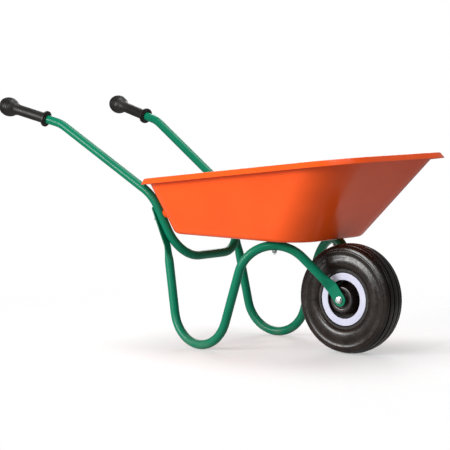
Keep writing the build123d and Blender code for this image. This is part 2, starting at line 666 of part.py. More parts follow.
def make_wheel_rim():
    """Black rim: flanged barrel with a drop centre, middle web, ribs that carry the trim rings, and hub."""
    ring_seat = RING_FACE_Y - RING_THICKNESS
    barrel_inner = DROP_CENTRE_RADIUS - RIM_WALL
    step_y = DROP_CENTRE_HALF_WIDTH - RIM_WALL / 2
    bead_seat_y = (DROP_CENTRE_HALF_WIDTH + RIM_FLANGE_Y) / 2
    flange_y = RIM_FLANGE_Y - RIM_WALL / 2
    hub_bore = BUSH_OUTER_RADIUS + RUNNING_CLEARANCE
    with BuildPart() as wheel_rim:
        with BuildSketch(WHEEL_PLANE):
            with Locations((0, (hub_bore + HUB_RADIUS) / 2)):
                Rectangle(2 * HUB_HALF_LENGTH, HUB_RADIUS - hub_bore)
            with Locations((0, (HUB_RADIUS + DROP_CENTRE_RADIUS) / 2)):
                Rectangle(2 * WEB_HALF_THICKNESS, DROP_CENTRE_RADIUS - HUB_RADIUS)
            with Locations((0, DROP_CENTRE_RADIUS - RIM_WALL / 2)):
                Rectangle(2 * DROP_CENTRE_HALF_WIDTH, RIM_WALL)
            for side in SIDES:
                with Locations((side * ring_seat / 2, RING_INNER_RADIUS + RING_RIB)):
                    Rectangle(ring_seat, RING_RIB)
                with Locations((side * step_y, (RIM_SEAT_RADIUS + barrel_inner) / 2)):
                    Rectangle(RIM_WALL, RIM_SEAT_RADIUS - barrel_inner)
                with Locations((side * bead_seat_y, RIM_SEAT_RADIUS - RIM_WALL / 2)):
                    Rectangle(RIM_FLANGE_Y - DROP_CENTRE_HALF_WIDTH, RIM_WALL)
                with Locations((side * flange_y, (RIM_SEAT_RADIUS + RIM_FLANGE_RADIUS) / 2)):
                    Rectangle(RIM_WALL, RIM_FLANGE_RADIUS - RIM_SEAT_RADIUS)
        revolve(axis=AXLE_AXIS)
    return wheel_rim.part


def make_trim_ring(side):
    """Flat pale ring on the rim's face."""
    return washer(axle_plane(side), RING_FACE_Y, RING_THICKNESS, RING_INNER_RADIUS, RING_OUTER_RADIUS)


def make_hub_bush(side):
    """Flanged bush in one end of the hub, running on the axle sleeve."""
    with BuildPart() as bush:
        with BuildSketch(axle_plane(side).offset(HUB_HALF_LENGTH)):
            Circle(BUSH_OUTER_RADIUS)
        extrude(amount=-BUSH_LENGTH)
        with BuildSketch(axle_plane(side).offset(HUB_HALF_LENGTH)):
            Circle(BUSH_FLANGE_RADIUS)
        extrude(amount=BUSH_FLANGE)
        with BuildSketch(axle_plane(side).offset(HUB_HALF_LENGTH + BUSH_FLANGE)):
            Circle(SLEEVE_RADIUS + RUNNING_CLEARANCE)
        extrude(amount=-BUSH_FLANGE - BUSH_LENGTH, mode=Mode.SUBTRACT)
    return bush.part


def write_node(name, shapes):
    """Write one node's STEP file, a group where it holds several solids."""
    if len(shapes) == 1:
        node = shapes[0]
    else:
        node = Compound(children=shapes)
    node.label = name
    export_step(node, f"parts/{name}.step")


def main():
    """Build every node and write it."""
    os.makedirs("parts", exist_ok=True)
    right_leg = make_right_leg()
    right_grip = make_right_grip()
    nodes = {
        "tray": [make_tray()],
        "handle_tube": [make_handle_tube()],
        "right_leg_tube": [right_leg],
        "left_leg_tube": [mirror(right_leg, about=Plane.XZ)],
        "right_grip": [right_grip],
        "left_grip": [mirror(right_grip, about=Plane.XZ)],
        "wheel_rim": [make_wheel_rim()],
        "tyre": [make_tyre()],
        "right_trim_ring": [make_trim_ring(RIGHT)],
        "left_trim_ring": [make_trim_ring(LEFT)],
        "right_hub_bush": [make_hub_bush(RIGHT)],
        "left_hub_bush": [make_hub_bush(LEFT)],
    }
    nodes.update(make_tray_fasteners())
    nodes.update(make_axle_fasteners())
    for name, shapes in nodes.items():
        write_node(name, shapes)


if __name__ == "__main__":
    main()
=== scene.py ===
"""Single-wheel garden wheelbarrow: its looks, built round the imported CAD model. Metres throughout."""

import logging
import math
from dataclasses import dataclass
from enum import Enum

import bmesh
import bpy
from mathutils import Matrix, Vector


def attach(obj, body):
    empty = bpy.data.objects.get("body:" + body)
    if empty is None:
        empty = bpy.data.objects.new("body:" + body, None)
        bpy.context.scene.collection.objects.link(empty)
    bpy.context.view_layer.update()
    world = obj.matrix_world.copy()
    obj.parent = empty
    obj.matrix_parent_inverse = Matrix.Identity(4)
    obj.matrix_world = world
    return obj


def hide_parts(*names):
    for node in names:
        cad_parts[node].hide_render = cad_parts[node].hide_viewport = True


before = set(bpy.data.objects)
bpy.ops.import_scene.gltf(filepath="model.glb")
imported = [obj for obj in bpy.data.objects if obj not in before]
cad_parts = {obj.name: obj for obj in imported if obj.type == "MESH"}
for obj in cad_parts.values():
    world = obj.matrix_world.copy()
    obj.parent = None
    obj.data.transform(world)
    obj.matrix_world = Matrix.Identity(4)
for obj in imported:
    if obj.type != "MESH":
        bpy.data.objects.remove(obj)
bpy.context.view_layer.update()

MM = 0.001
FULL_TURN = 2 * math.pi
UP = Vector((0, 0, 1))
DOWN = Vector((0, 0, -1))
ACROSS = Vector((0, 1, 0))
WELD = 1e-6
HEX_POINTS = 48
HEX_CHAMFER = 0.09
log = logging.getLogger("wheelbarrow")

Colour = tuple[float, float, float, float]
Section = list[tuple[float, float]]


class Side(Enum):
    """The two sides of the barrow, by the sign of their Y."""

    RIGHT = -1
    LEFT = 1


class Body(Enum):
    """The bodies that pieces ride on."""

    FRAME = "frame"
    WHEEL = "wheel"


# ---------------------------------------------------------------------------------------------
# Shaping tools
# ---------------------------------------------------------------------------------------------


def deselect() -> None:
    """Clear the selection in object mode."""
    bpy.ops.object.select_all(action="DESELECT")


def round_corner(before: Vector, corner: Vector, after: Vector, radius: float, steps: int) -> list[Vector]:
    """Points of the arc that rounds a corner.

    Args:
        before: a point on the run that leads to the corner.
        corner: the sharp corner.
        after: a point on the run that leaves it.
        radius: the arc's radius.
        steps: how many steps the arc has.

    Returns:
        The arc's points, from the first run to the second.
    """
    to_before = (before - corner).normalized()
    to_after = (after - corner).normalized()
    half = to_before.angle(to_after) / 2
    centre = corner + (to_before + to_after).normalized() * (radius / math.sin(half))
    start = corner + to_before * (radius / math.tan(half)) - centre
    end = corner + to_after * (radius / math.tan(half)) - centre
    axis = start.cross(end).normalized()
    turn = math.pi - 2 * half
    return [centre + Matrix.Rotation(turn * i / steps, 3, axis) @ start for i in range(steps + 1)]


def bend_extreme(before: Vector, corner: Vector, after: Vector, radius: float, towards: Vector) -> Vector:
    """Point of a rounded corner that lies furthest towards a direction.

    Args:
        before: a point on the run that leads to the corner.
        corner: the sharp corner.
        after: a point on the run that leaves it.
        radius: the arc's radius.
        towards: the direction.

    Returns:
        The point on the arc.
    """
    to_before = (before - corner).normalized()
    to_after = (after - corner).normalized()
    half = to_before.angle(to_after) / 2
    centre = corner + (to_before + to_after).normalized() * (radius / math.sin(half))
    normal = to_before.cross(to_after).normalized()
    return centre + (towards - normal * towards.dot(normal)).normalized() * radius


def ease(share: float) -> float:
    """Smooth step from 0 to 1."""
    share = min(max(share, 0.0), 1.0)
    return share * share * (3 - 2 * share)


class Skin:
    """A surface raised ring by ring in edit mode, each ring extruded from the one before it."""

    def __init__(self, name: str, first: list[Vector]) -> None:
        """Start from a circle whose vertices are set on the first ring.

        Args:
            name: the piece's name.
            first: the first ring's places.
        """
        deselect()
        bpy.ops.mesh.primitive_circle_add(vertices=len(first), radius=MM, fill_type="NOTHING")
        self.obj = bpy.context.object
        self.obj.name = name
        self.obj.data.name = name
        bpy.ops.object.mode_set(mode="EDIT")
        bpy.ops.mesh.select_all(action="SELECT")
        self.ring = list(range(len(first)))
        self._set(first)

    def _set(self, places: list[Vector]) -> None:
        """Set the current ring's vertices on their places.

        Args:
            places: one place for each vertex.
        """
        mesh = bmesh.from_edit_mesh(self.obj.data)
        mesh.verts.ensure_lookup_table()
        for index, place in zip(self.ring, places):
            mesh.verts[index].co = place
        bmesh.update_edit_mesh(self.obj.data)

    def raise_to(self, places: list[Vector]) -> None:
        """Extrude the current ring to the next one.

        Args:
            places: the next ring's places.
        """
        bpy.ops.mesh.extrude_region_move()
        mesh = bmesh.from_edit_mesh(self.obj.data)
        mesh.verts.ensure_lookup_table()
        mesh.verts.index_update()
        raised = []
        for index in self.ring:
            old = mesh.verts[index]
            raised.append(next(e.other_vert(old).index for e in old.link_edges if e.other_vert(old).select))
        self.ring = raised
        self._set(places)

    def cap(self) -> None:
        """Close the current ring with one flat face."""
        bpy.ops.mesh.edge_face_add()

    def cap_first(self, count: int) -> None:
        """Close the first ring, whose vertices are the mesh's first ones.

        Args:
            count: how many vertices the ring has.
        """
        bpy.ops.mesh.select_all(action="DESELECT")
        mesh = bmesh.from_edit_mesh(self.obj.data)
        mesh.verts.ensure_lookup_table()
        for index in range(count):
            mesh.verts[index].select = True
        mesh.select_flush(True)
        bmesh.update_edit_mesh(self.obj.data)
        bpy.ops.mesh.edge_face_add()

    def finish(self) -> bpy.types.Object:
        """Merge doubles, turn the normals outwards and leave edit mode.

        Returns:
            The finished object.
        """
        bpy.ops.mesh.select_all(action="SELECT")
        bpy.ops.mesh.remove_doubles(threshold=WELD)
        bpy.ops.mesh.normals_make_consistent(inside=False)
        bpy.ops.object.mode_set(mode="OBJECT")
        return self.obj


def raised(name: str, rings: list[list[Vector]]) -> bpy.types.Object:
    """Closed piece through a list of rings.

    Args:
        name: the piece's name.
        rings: its rings, each with as many places.

    Returns:
        The piece, closed at both ends.
    """
    skin = Skin(name, rings[0])
    for ring in rings[1:]:
        skin.raise_to(ring)
    skin.cap()
    skin.cap_first(len(rings[0]))
    return skin.finish()


def spun(name: str, section: Section, origin: Vector, axis: Vector, steps: int) -> bpy.types.Object:
    """Closed section spun once round an axis.

    Args:
        name: the piece's name.
        section: (distance along the axis, radius) points of the closed section.
        origin: the axis point that distances count from.
        axis: the axis's direction.
        steps: how many steps the turn has.

    Returns:
        The spun piece.
    """
    axis = axis.normalized()
    outward = axis.orthogonal().normalized()
    deselect()
    bpy.ops.mesh.primitive_circle_add(vertices=len(section), radius=MM, fill_type="NOTHING")
    obj = bpy.context.object
    obj.name = name
    obj.data.name = name
    bpy.ops.object.mode_set(mode="EDIT")
    mesh = bmesh.from_edit_mesh(obj.data)
    mesh.verts.ensure_lookup_table()
    for vertex, (along, radius) in zip(mesh.verts, section):
        vertex.co = origin + axis * along + outward * radius
    bmesh.update_edit_mesh(obj.data)
    bpy.ops.mesh.select_all(action="SELECT")
    bpy.ops.mesh.spin(steps=steps, angle=FULL_TURN, center=origin, axis=axis)
    bpy.ops.mesh.select_all(action="SELECT")
    bpy.ops.mesh.remove_doubles(threshold=WELD)
    bpy.ops.mesh.delete_loose(use_verts=True, use_edges=True, use_faces=False)
    bpy.ops.mesh.select_all(action="SELECT")
    bpy.ops.mesh.normals_make_consistent(inside=False)
    bpy.ops.object.mode_set(mode="OBJECT")
    return obj


def smooth(obj: bpy.types.Object, angle: float = 35.0) -> bpy.types.Object:
    """Shade smooth where faces meet at less than an angle in degrees.

    Args:
        obj: the piece.
        angle: the angle.

    Returns:
        The same piece.
    """
    deselect()
    obj.select_set(True)
    bpy.context.view_layer.objects.active = obj
    bpy.ops.object.shade_smooth_by_angle(angle=math.radians(angle))
    return obj


def apply_modifier(obj: bpy.types.Object, kind: str, **settings: object) -> None:
    """Add a modifier with its settings and apply it.

    Args:
        obj: the piece.
        kind: the modifier's type.
        settings: its settings by name.
    """
    deselect()
    obj.select_set(True)
    bpy.context.view_layer.objects.active = obj
    modifier = obj.modifiers.new(kind.title(), kind)
    for key, value in settings.items():
        setattr(modifier, key, value)
    bpy.ops.object.modifier_apply(modifier=modifier.name)


def joined(name: str, objects: list[bpy.types.Object]) -> bpy.types.Object:
    """Several shapes as one piece.

    Args:
        name: the piece's name.
        objects: the shapes.

    Returns:
        The piece.
    """
    deselect()
    for obj in objects:
        obj.select_set(True)
    bpy.context.view_layer.objects.active = objects[0]
    bpy.ops.object.join()
    objects[0].name = name
    return objects[0]


def mirrored(obj: bpy.types.Object, name: str) -> bpy.types.Object:
    """Copy of a piece on the other side of the centre plane, with its own mesh.

    Args:
        obj: the piece.
        name: the copy's name.

    Returns:
        The copy.
    """
    deselect()
    obj.select_set(True)
    bpy.context.view_layer.objects.active = obj
    bpy.ops.object.duplicate(linked=False)
    copy = bpy.context.object
    copy.name = name
    bpy.ops.object.mode_set(mode="EDIT")
    bpy.ops.mesh.select_all(action="SELECT")
    bpy.ops.transform.resize(value=(1, -1, 1), center_override=(0, 0, 0))
    bpy.ops.mesh.flip_normals()
    bpy.ops.object.mode_set(mode="OBJECT")
    return copy


def dress(
    obj: bpy.types.Object, material: bpy.types.Material, body: Body, nodes: list[str]
) -> bpy.types.Object:
    """Give a piece its material, its body and the CAD nodes that it stands for.

    Args:
        obj: the piece.
        material: its material.
        body: the body that it rides on.
        nodes: the CAD nodes that it stands for.

    Returns:
        The same piece.
    """
    obj.data.materials.clear()
    obj.data.materials.append(material)
    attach(obj, body.value)
    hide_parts(*nodes)
    log.info("%s: %d faces, for %s", obj.name, len(obj.data.polygons), ", ".join(nodes))
    return obj


# ---------------------------------------------------------------------------------------------
# Finishes
# ---------------------------------------------------------------------------------------------


class Wiring:
    """Adds and joins the nodes of one material or node group."""

    def __init__(self, tree: bpy.types.NodeTree) -> None:
        """Keep the tree that nodes go into."""
        self.tree = tree

    def node(self, kind: str, settings: dict | None = None, **inputs: object) -> bpy.types.Node:
        """Add a node, with its settings and its inputs, whose spaces are written as underscores.

        Args:
            kind: the node's type.
            settings: its own settings by name.
            inputs: its inputs, each a socket or a value.

        Returns:
            The node.
        """
        made = self.tree.nodes.new(kind)
        for key, value in (settings or {}).items():
            setattr(made, key, value)
        for key, value in inputs.items():
            self.feed(made.inputs[key.replace("_", " ")], value)
        return made

    def feed(self, socket: bpy.types.NodeSocket, value: object) -> None:
        """Link or set an input.

        Args:
            socket: the input.
            value: a socket to link or a value to set.
        """
        if isinstance(value, bpy.types.NodeSocket):
            self.tree.links.new(value, socket)
        else:
            socket.default_value = value

    def noise(self, place: bpy.types.NodeSocket, scale: float, detail: float = 3.0) -> bpy.types.NodeSocket:
        """Noise value at a place."""
        return self.node("ShaderNodeTexNoise", None, Vector=place, Scale=scale, Detail=detail).outputs[0]

    def ranged(
        self, value: object, low: float, high: float, to_low: float, to_high: float
    ) -> bpy.types.NodeSocket:
        """A value moved from one range to another.

        Args:
            value: the value.
            low: the lower end of the first range.
            high: the upper end of the first range.
            to_low: the lower end of the second range.
            to_high: the upper end of the second range.

        Returns:
            The moved value.
        """
        return self.node(
            "ShaderNodeMapRange", None, Value=value,
            From_Min=low, From_Max=high, To_Min=to_low, To_Max=to_high,
        ).outputs[0]

    def mixed(self, share: object, first: object, second: object) -> bpy.types.NodeSocket:
        """Two colours mixed by a share.

        Args:
            share: the share of the second.
            first: the first colour.
            second: the second colour.

        Returns:
            The mixed colour.
        """
        made = self.node("ShaderNodeMix", {"data_type": "RGBA"})
        for index, value in ((0, share), (6, first), (7, second)):
            self.feed(made.inputs[index], value)
        return made.outputs[2]

    def maths(self, operation: str, first: object, second: object) -> bpy.types.NodeSocket:
        """A math node.

        Args:
            operation: what it works out.
            first: its first value.
            second: its second value.

        Returns:
            The result.
        """
        made = self.node("ShaderNodeMath", {"operation": operation})
        self.feed(made.inputs[0], first)
        self.feed(made.inputs[1], second)
        return made.outputs[0]


class Effect:
    """A shader node group with named inputs and outputs, built once and placed in many materials."""

    name = "effect"
    ins: dict[str, str] = {}
    outs: dict[str, str] = {
        "Color": "NodeSocketColor",
        "Roughness": "NodeSocketFloat",
        "Height": "NodeSocketFloat",
    }

    def __init__(self) -> None:
        """Build the group."""
        self.group = bpy.data.node_groups.new(self.name, "ShaderNodeTree")
        for label, kind in self.ins.items():
            self.group.interface.new_socket(label, in_out="INPUT", socket_type=kind)
        for label, kind in self.outs.items():
            self.group.interface.new_socket(label, in_out="OUTPUT", socket_type=kind)
        wiring = Wiring(self.group)
        given = wiring.node("NodeGroupInput").outputs
        result = wiring.node("NodeGroupOutput")
        for label, value in self.build(wiring, given).items():
            wiring.feed(result.inputs[label], value)

    def build(self, wiring: Wiring, given: bpy.types.NodeOutputs) -> dict[str, bpy.types.NodeSocket]:
        """Wire the group's inside and return its outputs by name."""
        raise NotImplementedError

    def placed(self, wiring: Wiring, **inputs: object) -> bpy.types.NodeOutputs:
        """Place the group in a material."""
        made = wiring.node("ShaderNodeGroup", {"node_tree": self.group}, **inputs)
        return made.outputs


class EnamelSkin(Effect):
    """Sprayed and baked enamel: faint cloudiness, orange peel and a few nibs of dust under the gloss."""

    name = "enamel_skin"
    ins = {
        "Place": "NodeSocketVector",
        "Paint": "NodeSocketColor",
        "Deep": "NodeSocketColor",
        "Gloss": "NodeSocketFloat",
    }

    def build(self, wiring: Wiring, given: bpy.types.NodeOutputs) -> dict[str, bpy.types.NodeSocket]:
        """Cloud, peel and nib patterns.

        Args:
            wiring: the group's tree.
            given: the group's inputs.

        Returns:
            The outputs by name.
        """
        cloud = wiring.ranged(wiring.noise(given["Place"], 5.0, 4.0), 0.35, 0.7, 0.0, 1.0)
        flow = wiring.noise(given["Place"], 26.0, 2.0)
        peel = wiring.noise(given["Place"], 110.0, 1.5)
        speck = wiring.ranged(wiring.noise(given["Place"], 260.0, 0.0), 0.74, 0.8, 0.0, 1.0)
        colour = wiring.mixed(cloud, given["Paint"], given["Deep"])
        rough = wiring.maths("ADD", given["Gloss"], wiring.ranged(flow, 0.3, 0.7, 0.0, 0.07))
        slow = wiring.maths("MULTIPLY", flow, 1.6)
        height = wiring.maths("ADD", wiring.maths("ADD", slow, peel), wiring.maths("MULTIPLY", speck, 0.5))
        return {"Color": colour, "Roughness": rough, "Height": height}


class MouldedGrain(Effect):
    """Moulded rubber or plastic: fine spark grain, bloom that greys the high spots, and handling marks."""

    name = "moulded_grain"
    ins = {
        "Place": "NodeSocketVector",
        "Base": "NodeSocketColor",
        "Bloom": "NodeSocketColor",
        "Grain Scale": "NodeSocketFloat",
        "Gloss": "NodeSocketFloat",
    }

    def build(self, wiring: Wiring, given: bpy.types.NodeOutputs) -> dict[str, bpy.types.NodeSocket]:
        """Grain cells, bloom patches and rub marks.

        Args:
            wiring: the group's tree.
            given: the group's inputs.

        Returns:
            The outputs by name.
        """
        cells = wiring.node("ShaderNodeTexVoronoi", None, Vector=given["Place"], Scale=given["Grain Scale"])
        patches = wiring.ranged(wiring.noise(given["Place"], 18.0, 5.0), 0.42, 0.75, 0.0, 1.0)
        rubs = wiring.noise(given["Place"], 95.0, 4.0)
        colour = wiring.mixed(patches, given["Base"], given["Bloom"])
        rough = wiring.maths("ADD", given["Gloss"], wiring.ranged(rubs, 0.3, 0.7, -0.05, 0.09))
        height = wiring.maths("ADD", cells.outputs["Distance"], wiring.maths("MULTIPLY", rubs, 0.6))
        return {"Color": colour, "Roughness": rough, "Height": height}


class ZincPlate(Effect):
    """Bright zinc plate: cool grey with warmer passivation patches and fine tumbling scratches."""

    name = "zinc_plate"
    ins = {"Place": "NodeSocketVector", "Zinc": "NodeSocketColor", "Passivation": "NodeSocketColor"}

    def build(self, wiring: Wiring, given: bpy.types.NodeOutputs) -> dict[str, bpy.types.NodeSocket]:
        """Patches and scratches.

        Args:
            wiring: the group's tree.
            given: the group's inputs.

        Returns:
            The outputs by name.
        """
        patches = wiring.ranged(wiring.noise(given["Place"], 140.0, 3.0), 0.4, 0.7, 0.0, 1.0)
        along_scratches = (300.0, 2400.0, 300.0)
        stretched = wiring.node("ShaderNodeMapping", None, Vector=given["Place"], Scale=along_scratches)
        scratches = wiring.noise(stretched.outputs[0], 1.0, 2.0)
        colour = wiring.mixed(patches, given["Zinc"], given["Passivation"])
        rough = wiring.ranged(scratches, 0.3, 0.7, 0.22, 0.42)
        return {"Color": colour, "Roughness": rough, "Height": scratches}


class SettledDust(Effect):
    """Yard dust that lies in patches, thicker towards the ground."""

    name = "settled_dust"
    ins = {
        "Place": "NodeSocketVector",
        "Under": "NodeSocketColor",
        "Dust": "NodeSocketColor",
        "Amount": "NodeSocketFloat",
        "Reach": "NodeSocketFloat",
    }
    outs = {"Color": "NodeSocketColor", "Share": "NodeSocketFloat"}

    def build(self, wiring: Wiring, given: bpy.types.NodeOutputs) -> dict[str, bpy.types.NodeSocket]:
        """A mask from height over the ground, broken up by noise.

        Args:
            wiring: the group's tree.
            given: the group's inputs.

        Returns:
            The outputs by name.
        """
        height = wiring.node("ShaderNodeSeparateXYZ", None, Vector=given["Place"]).outputs["Z"]
        low = wiring.maths("SUBTRACT", 1.0, wiring.maths("DIVIDE", height, given["Reach"]))
        clear = wiring.node("ShaderNodeClamp", None, Value=low).outputs[0]
        cloud = wiring.ranged(wiring.noise(given["Place"], 26.0, 6.0), 0.4, 0.65, 0.0, 1.0)
        share = wiring.maths("MULTIPLY", wiring.maths("MULTIPLY", clear, cloud), given["Amount"])
        return {"Color": wiring.mixed(share, given["Under"], given["Dust"]), "Share": share}


class Effects:
    """The shared effects, each built once."""

    def __init__(self) -> None:
        """Build the four groups."""
        self.enamel = EnamelSkin()
        self.grain = MouldedGrain()
        self.zinc = ZincPlate()
        self.dust = SettledDust()


def new_material(name: str) -> tuple[bpy.types.Material, Wiring, bpy.types.Node, bpy.types.NodeSocket]:
    """A material with its Principled shader and its Object coordinates.

    Args:
        name: the material's name.

    Returns:
        The material, its tree, its shader and its coordinates.
    """
    material = bpy.data.materials.new(name)
    material.use_nodes = True
    material.node_tree.nodes.clear()
    wiring = Wiring(material.node_tree)
    shader = wiring.node("ShaderNodeBsdfPrincipled")
    wiring.node("ShaderNodeOutputMaterial", None, Surface=shader.outputs[0])
    return material, wiring, shader, wiring.node("ShaderNodeTexCoord").outputs["Object"]


def bump(wiring: Wiring, shader: bpy.types.Node, height: bpy.types.NodeSocket, depth: float) -> None:
    """Feed a height into the shader's normal, with a depth in metres.

    Args:
        wiring: the material's tree.
        shader: its Principled shader.
        height: the height.
        depth: its depth.
    """
    node = wiring.node("ShaderNodeBump", None, Height=height, Distance=depth, Strength=1.0)
    wiring.feed(shader.inputs["Normal"], node.outputs[0])


@dataclass(frozen=True)
class Enamel:
    """Gloss enamel over steel."""

    name: str
    slot: str
    paint: Colour
    deep: Colour
    gloss: float = 0.2
    coat: float = 0.08
    specular: float = 0.16
    peel: float = 0.015 * MM
    dust_reach: float = 0.25
    dust_amount: float = 0.12

    def material(self, effects: Effects) -> bpy.types.Material:
        """Build the enamel's material.

        Args:
            effects: the shared effects.

        Returns:
            The material.
        """
        material, wiring, shader, place = new_material(self.name)
        skin = effects.enamel.placed(wiring, Place=place, Paint=self.paint, Deep=self.deep, Gloss=self.gloss)
        dust = effects.dust.placed(
            wiring, Place=place, Under=skin["Color"], Dust=(0.36, 0.3, 0.22, 1), Amount=self.dust_amount,
            Reach=self.dust_reach,
        )
        wiring.feed(shader.inputs["Base Color"], dust["Color"])
        rough = wiring.maths("ADD", skin["Roughness"], wiring.maths("MULTIPLY", dust["Share"], 0.4))
        wiring.feed(shader.inputs["Roughness"], rough)
        shader.inputs["Coat Weight"].default_value = self.coat
        shader.inputs["Coat Roughness"].default_value = 0.08
        shader.inputs["Specular IOR Level"].default_value = self.specular
        bump(wiring, shader, skin["Height"], self.peel)
        return material


@dataclass(frozen=True)
class Moulding:
    """Moulded rubber or plastic."""

    name: str
    slot: str
    base: Colour
    bloom: Colour
    gloss: float
    grain_scale: float = 320.0
    grain: float = 0.008 * MM
    dust_amount: float = 0.0
    dust_reach: float = 0.3
    specular: float = 0.5

    def material(self, effects: Effects) -> bpy.types.Material:
        """Build the moulding's material.

        Args:
            effects: the shared effects.

        Returns:
            The material.
        """
        material, wiring, shader, place = new_material(self.name)
        grain = effects.grain.placed(
            wiring, Place=place, Base=self.base, Bloom=self.bloom,
            Grain_Scale=self.grain_scale, Gloss=self.gloss,
        )
        dust = effects.dust.placed(
            wiring, Place=place, Under=grain["Color"], Dust=(0.16, 0.11, 0.075, 1), Amount=self.dust_amount,
            Reach=self.dust_reach,
        )
        wiring.feed(shader.inputs["Base Color"], dust["Color"])
        rough = wiring.maths("ADD", grain["Roughness"], wiring.maths("MULTIPLY", dust["Share"], 0.35))
        wiring.feed(shader.inputs["Roughness"], rough)
        shader.inputs["Specular IOR Level"].default_value = self.specular
        bump(wiring, shader, grain["Height"], self.grain)
        return material


@dataclass(frozen=True)
class Plating:
    """Zinc-plated steel."""

    name: str
    slot: str
    zinc: Colour = (0.62, 0.68, 0.7, 1)
    passivation: Colour = (0.72, 0.7, 0.6, 1)

    def material(self, effects: Effects) -> bpy.types.Material:
        """Build the plating's material.

        Args:
            effects: the shared effects.

        Returns:
            The material.
        """
        material, wiring, shader, place = new_material(self.name)
        plate = effects.zinc.placed(wiring, Place=place, Zinc=self.zinc, Passivation=self.passivation)
        wiring.feed(shader.inputs["Base Color"], plate["Color"])
        wiring.feed(shader.inputs["Roughness"], plate["Roughness"])
        shader.inputs["Metallic"].default_value = 1.0
        bump(wiring, shader, plate["Height"], 0.01 * MM)
        return material


class Palette:
    """Every finish of the barrow, each as one material."""

    def __init__(self) -> None:
        """Build the shared effects, then the materials."""
        effects = Effects()
        self.orange = Enamel(
            "orange_enamel", "orange_paint", (0.96, 0.105, 0.012, 1), (0.88, 0.088, 0.009, 1)
        ).material(effects)
        self.green = Enamel(
            "green_enamel", "green_paint", (0.002, 0.2, 0.105, 1), (0.001, 0.165, 0.085, 1),
            gloss=0.27, dust_reach=0.08,
        ).material(effects)
        self.zinc = Plating("bright_zinc", "zinc_steel").material(effects)
        self.grip = Moulding(
            "grip_rubber_black", "grip_rubber", (0.008, 0.007, 0.006, 1), (0.015, 0.013, 0.011, 1), 0.42,
            specular=0.35,
        ).material(effects)
        self.tyre = Moulding(
            "tyre_rubber_black", "tyre_rubber", (0.009, 0.005, 0.0035, 1), (0.014, 0.0085, 0.006, 1), 0.25,
            grain=0.01 * MM, dust_amount=0.1, specular=0.4,
        ).material(effects)
        self.rim = Moulding(
            "rim_plastic_black", "rim_plastic", (0.012, 0.0085, 0.007, 1), (0.02, 0.0145, 0.012, 1), 0.3
        ).material(effects)
        self.ring = Moulding(
            "ring_plastic_pale", "pale_plastic", (0.6, 0.61, 0.76, 1), (0.68, 0.69, 0.8, 1), 0.3,
            grain=0.004 * MM, dust_amount=0.06,
        ).material(effects)
        self.bush = Moulding(
            "bush_plastic_grey", "bush_plastic", (0.06, 0.06, 0.06, 1), (0.09, 0.09, 0.09, 1), 0.4
        ).material(effects)


# ---------------------------------------------------------------------------------------------
# Layout: the bends and bolt places that the pieces share
# ---------------------------------------------------------------------------------------------


def mm(x: float, y: float, z: float) -> Vector:
    """A place given in millimetres."""
    return Vector((x, y, z)) * MM


@dataclass(frozen=True)
class Layout:
    """Places that several pieces share, in metres."""

    axle: Vector = mm(539.5, 0, 180)
    plate_y: float = 62 * MM
    tube_radius: float = 15 * MM
    tube_offset: float = 15.3 * MM
    plate: float = 5 * MM
    floor_rear: Vector = mm(-64, 0, 378.15)
    wall_lean: float = math.radians(23.3)
    floor_tilt: float = math.radians(1)
    crest: Vector = mm(357, -168.6, 355.5)
    rear_bolt_z: float = 436 * MM
    washer_sag: float = 0.33 * MM

    def behind_wall(self, y: float, z: float, distance: float) -> Vector:
        """Place on a plane parallel to the rear wall, at a distance behind its outer face."""
        x = self.floor_rear.x - (z - self.floor_rear.z) * math.tan(self.wall_lean)
        return Vector((x - distance / math.cos(self.wall_lean), y, z))

    def wall_normal(self) -> Vector:
        """Direction from the rear wall into the tray."""
        return Vector((math.cos(self.wall_lean), 0, math.sin(self.wall_lean)))

    def handle_corners(self, side: Side) -> list[Vector]:
        """Corners of the handle tube on one side, from the grip's outer end to the crossbar.

        Args:
            side: the side.

        Returns:
            The four corners.
        """
        s = side.value
        return [
            mm(-749.1, s * 293, 810.5),
            mm(-503, s * 254.6, 744.5),
            self.behind_wall(s * 199.5 * MM, 504 * MM, self.tube_offset),
            self.behind_wall(s * 167 * MM, 296 * MM, self.tube_offset),
        ]

    def rear_bolt(self, side: Side) -> tuple[Vector, Vector]:
        """Place on the rear wall's outer face at a bolt, and the direction into the tray.

        Args:
            side: the side.

        Returns:
            The place and the direction.
        """
        _, _, rim_bend, crossbar_end = self.handle_corners(side)
        share = (self.rear_bolt_z - crossbar_end.z) / (rim_bend.z - crossbar_end.z)
        return crossbar_end.lerp(rim_bend, share) + self.wall_normal() * self.tube_offset, self.wall_normal()

    def floor_bolt(self, side: Side) -> tuple[Vector, Vector]:
        """Place on the floor's underside at a bolt, and the direction into the tray.

        Args:
            side: the side.

        Returns:
            The place and the direction.
        """
        upward = Vector((math.sin(self.floor_tilt), 0, math.cos(self.floor_tilt)))
        crest = Vector((self.crest.x, -side.value * self.crest.y, self.crest.z))
        return crest + upward * self.tube_offset, upward


# ---------------------------------------------------------------------------------------------
# Pieces
# ---------------------------------------------------------------------------------------------


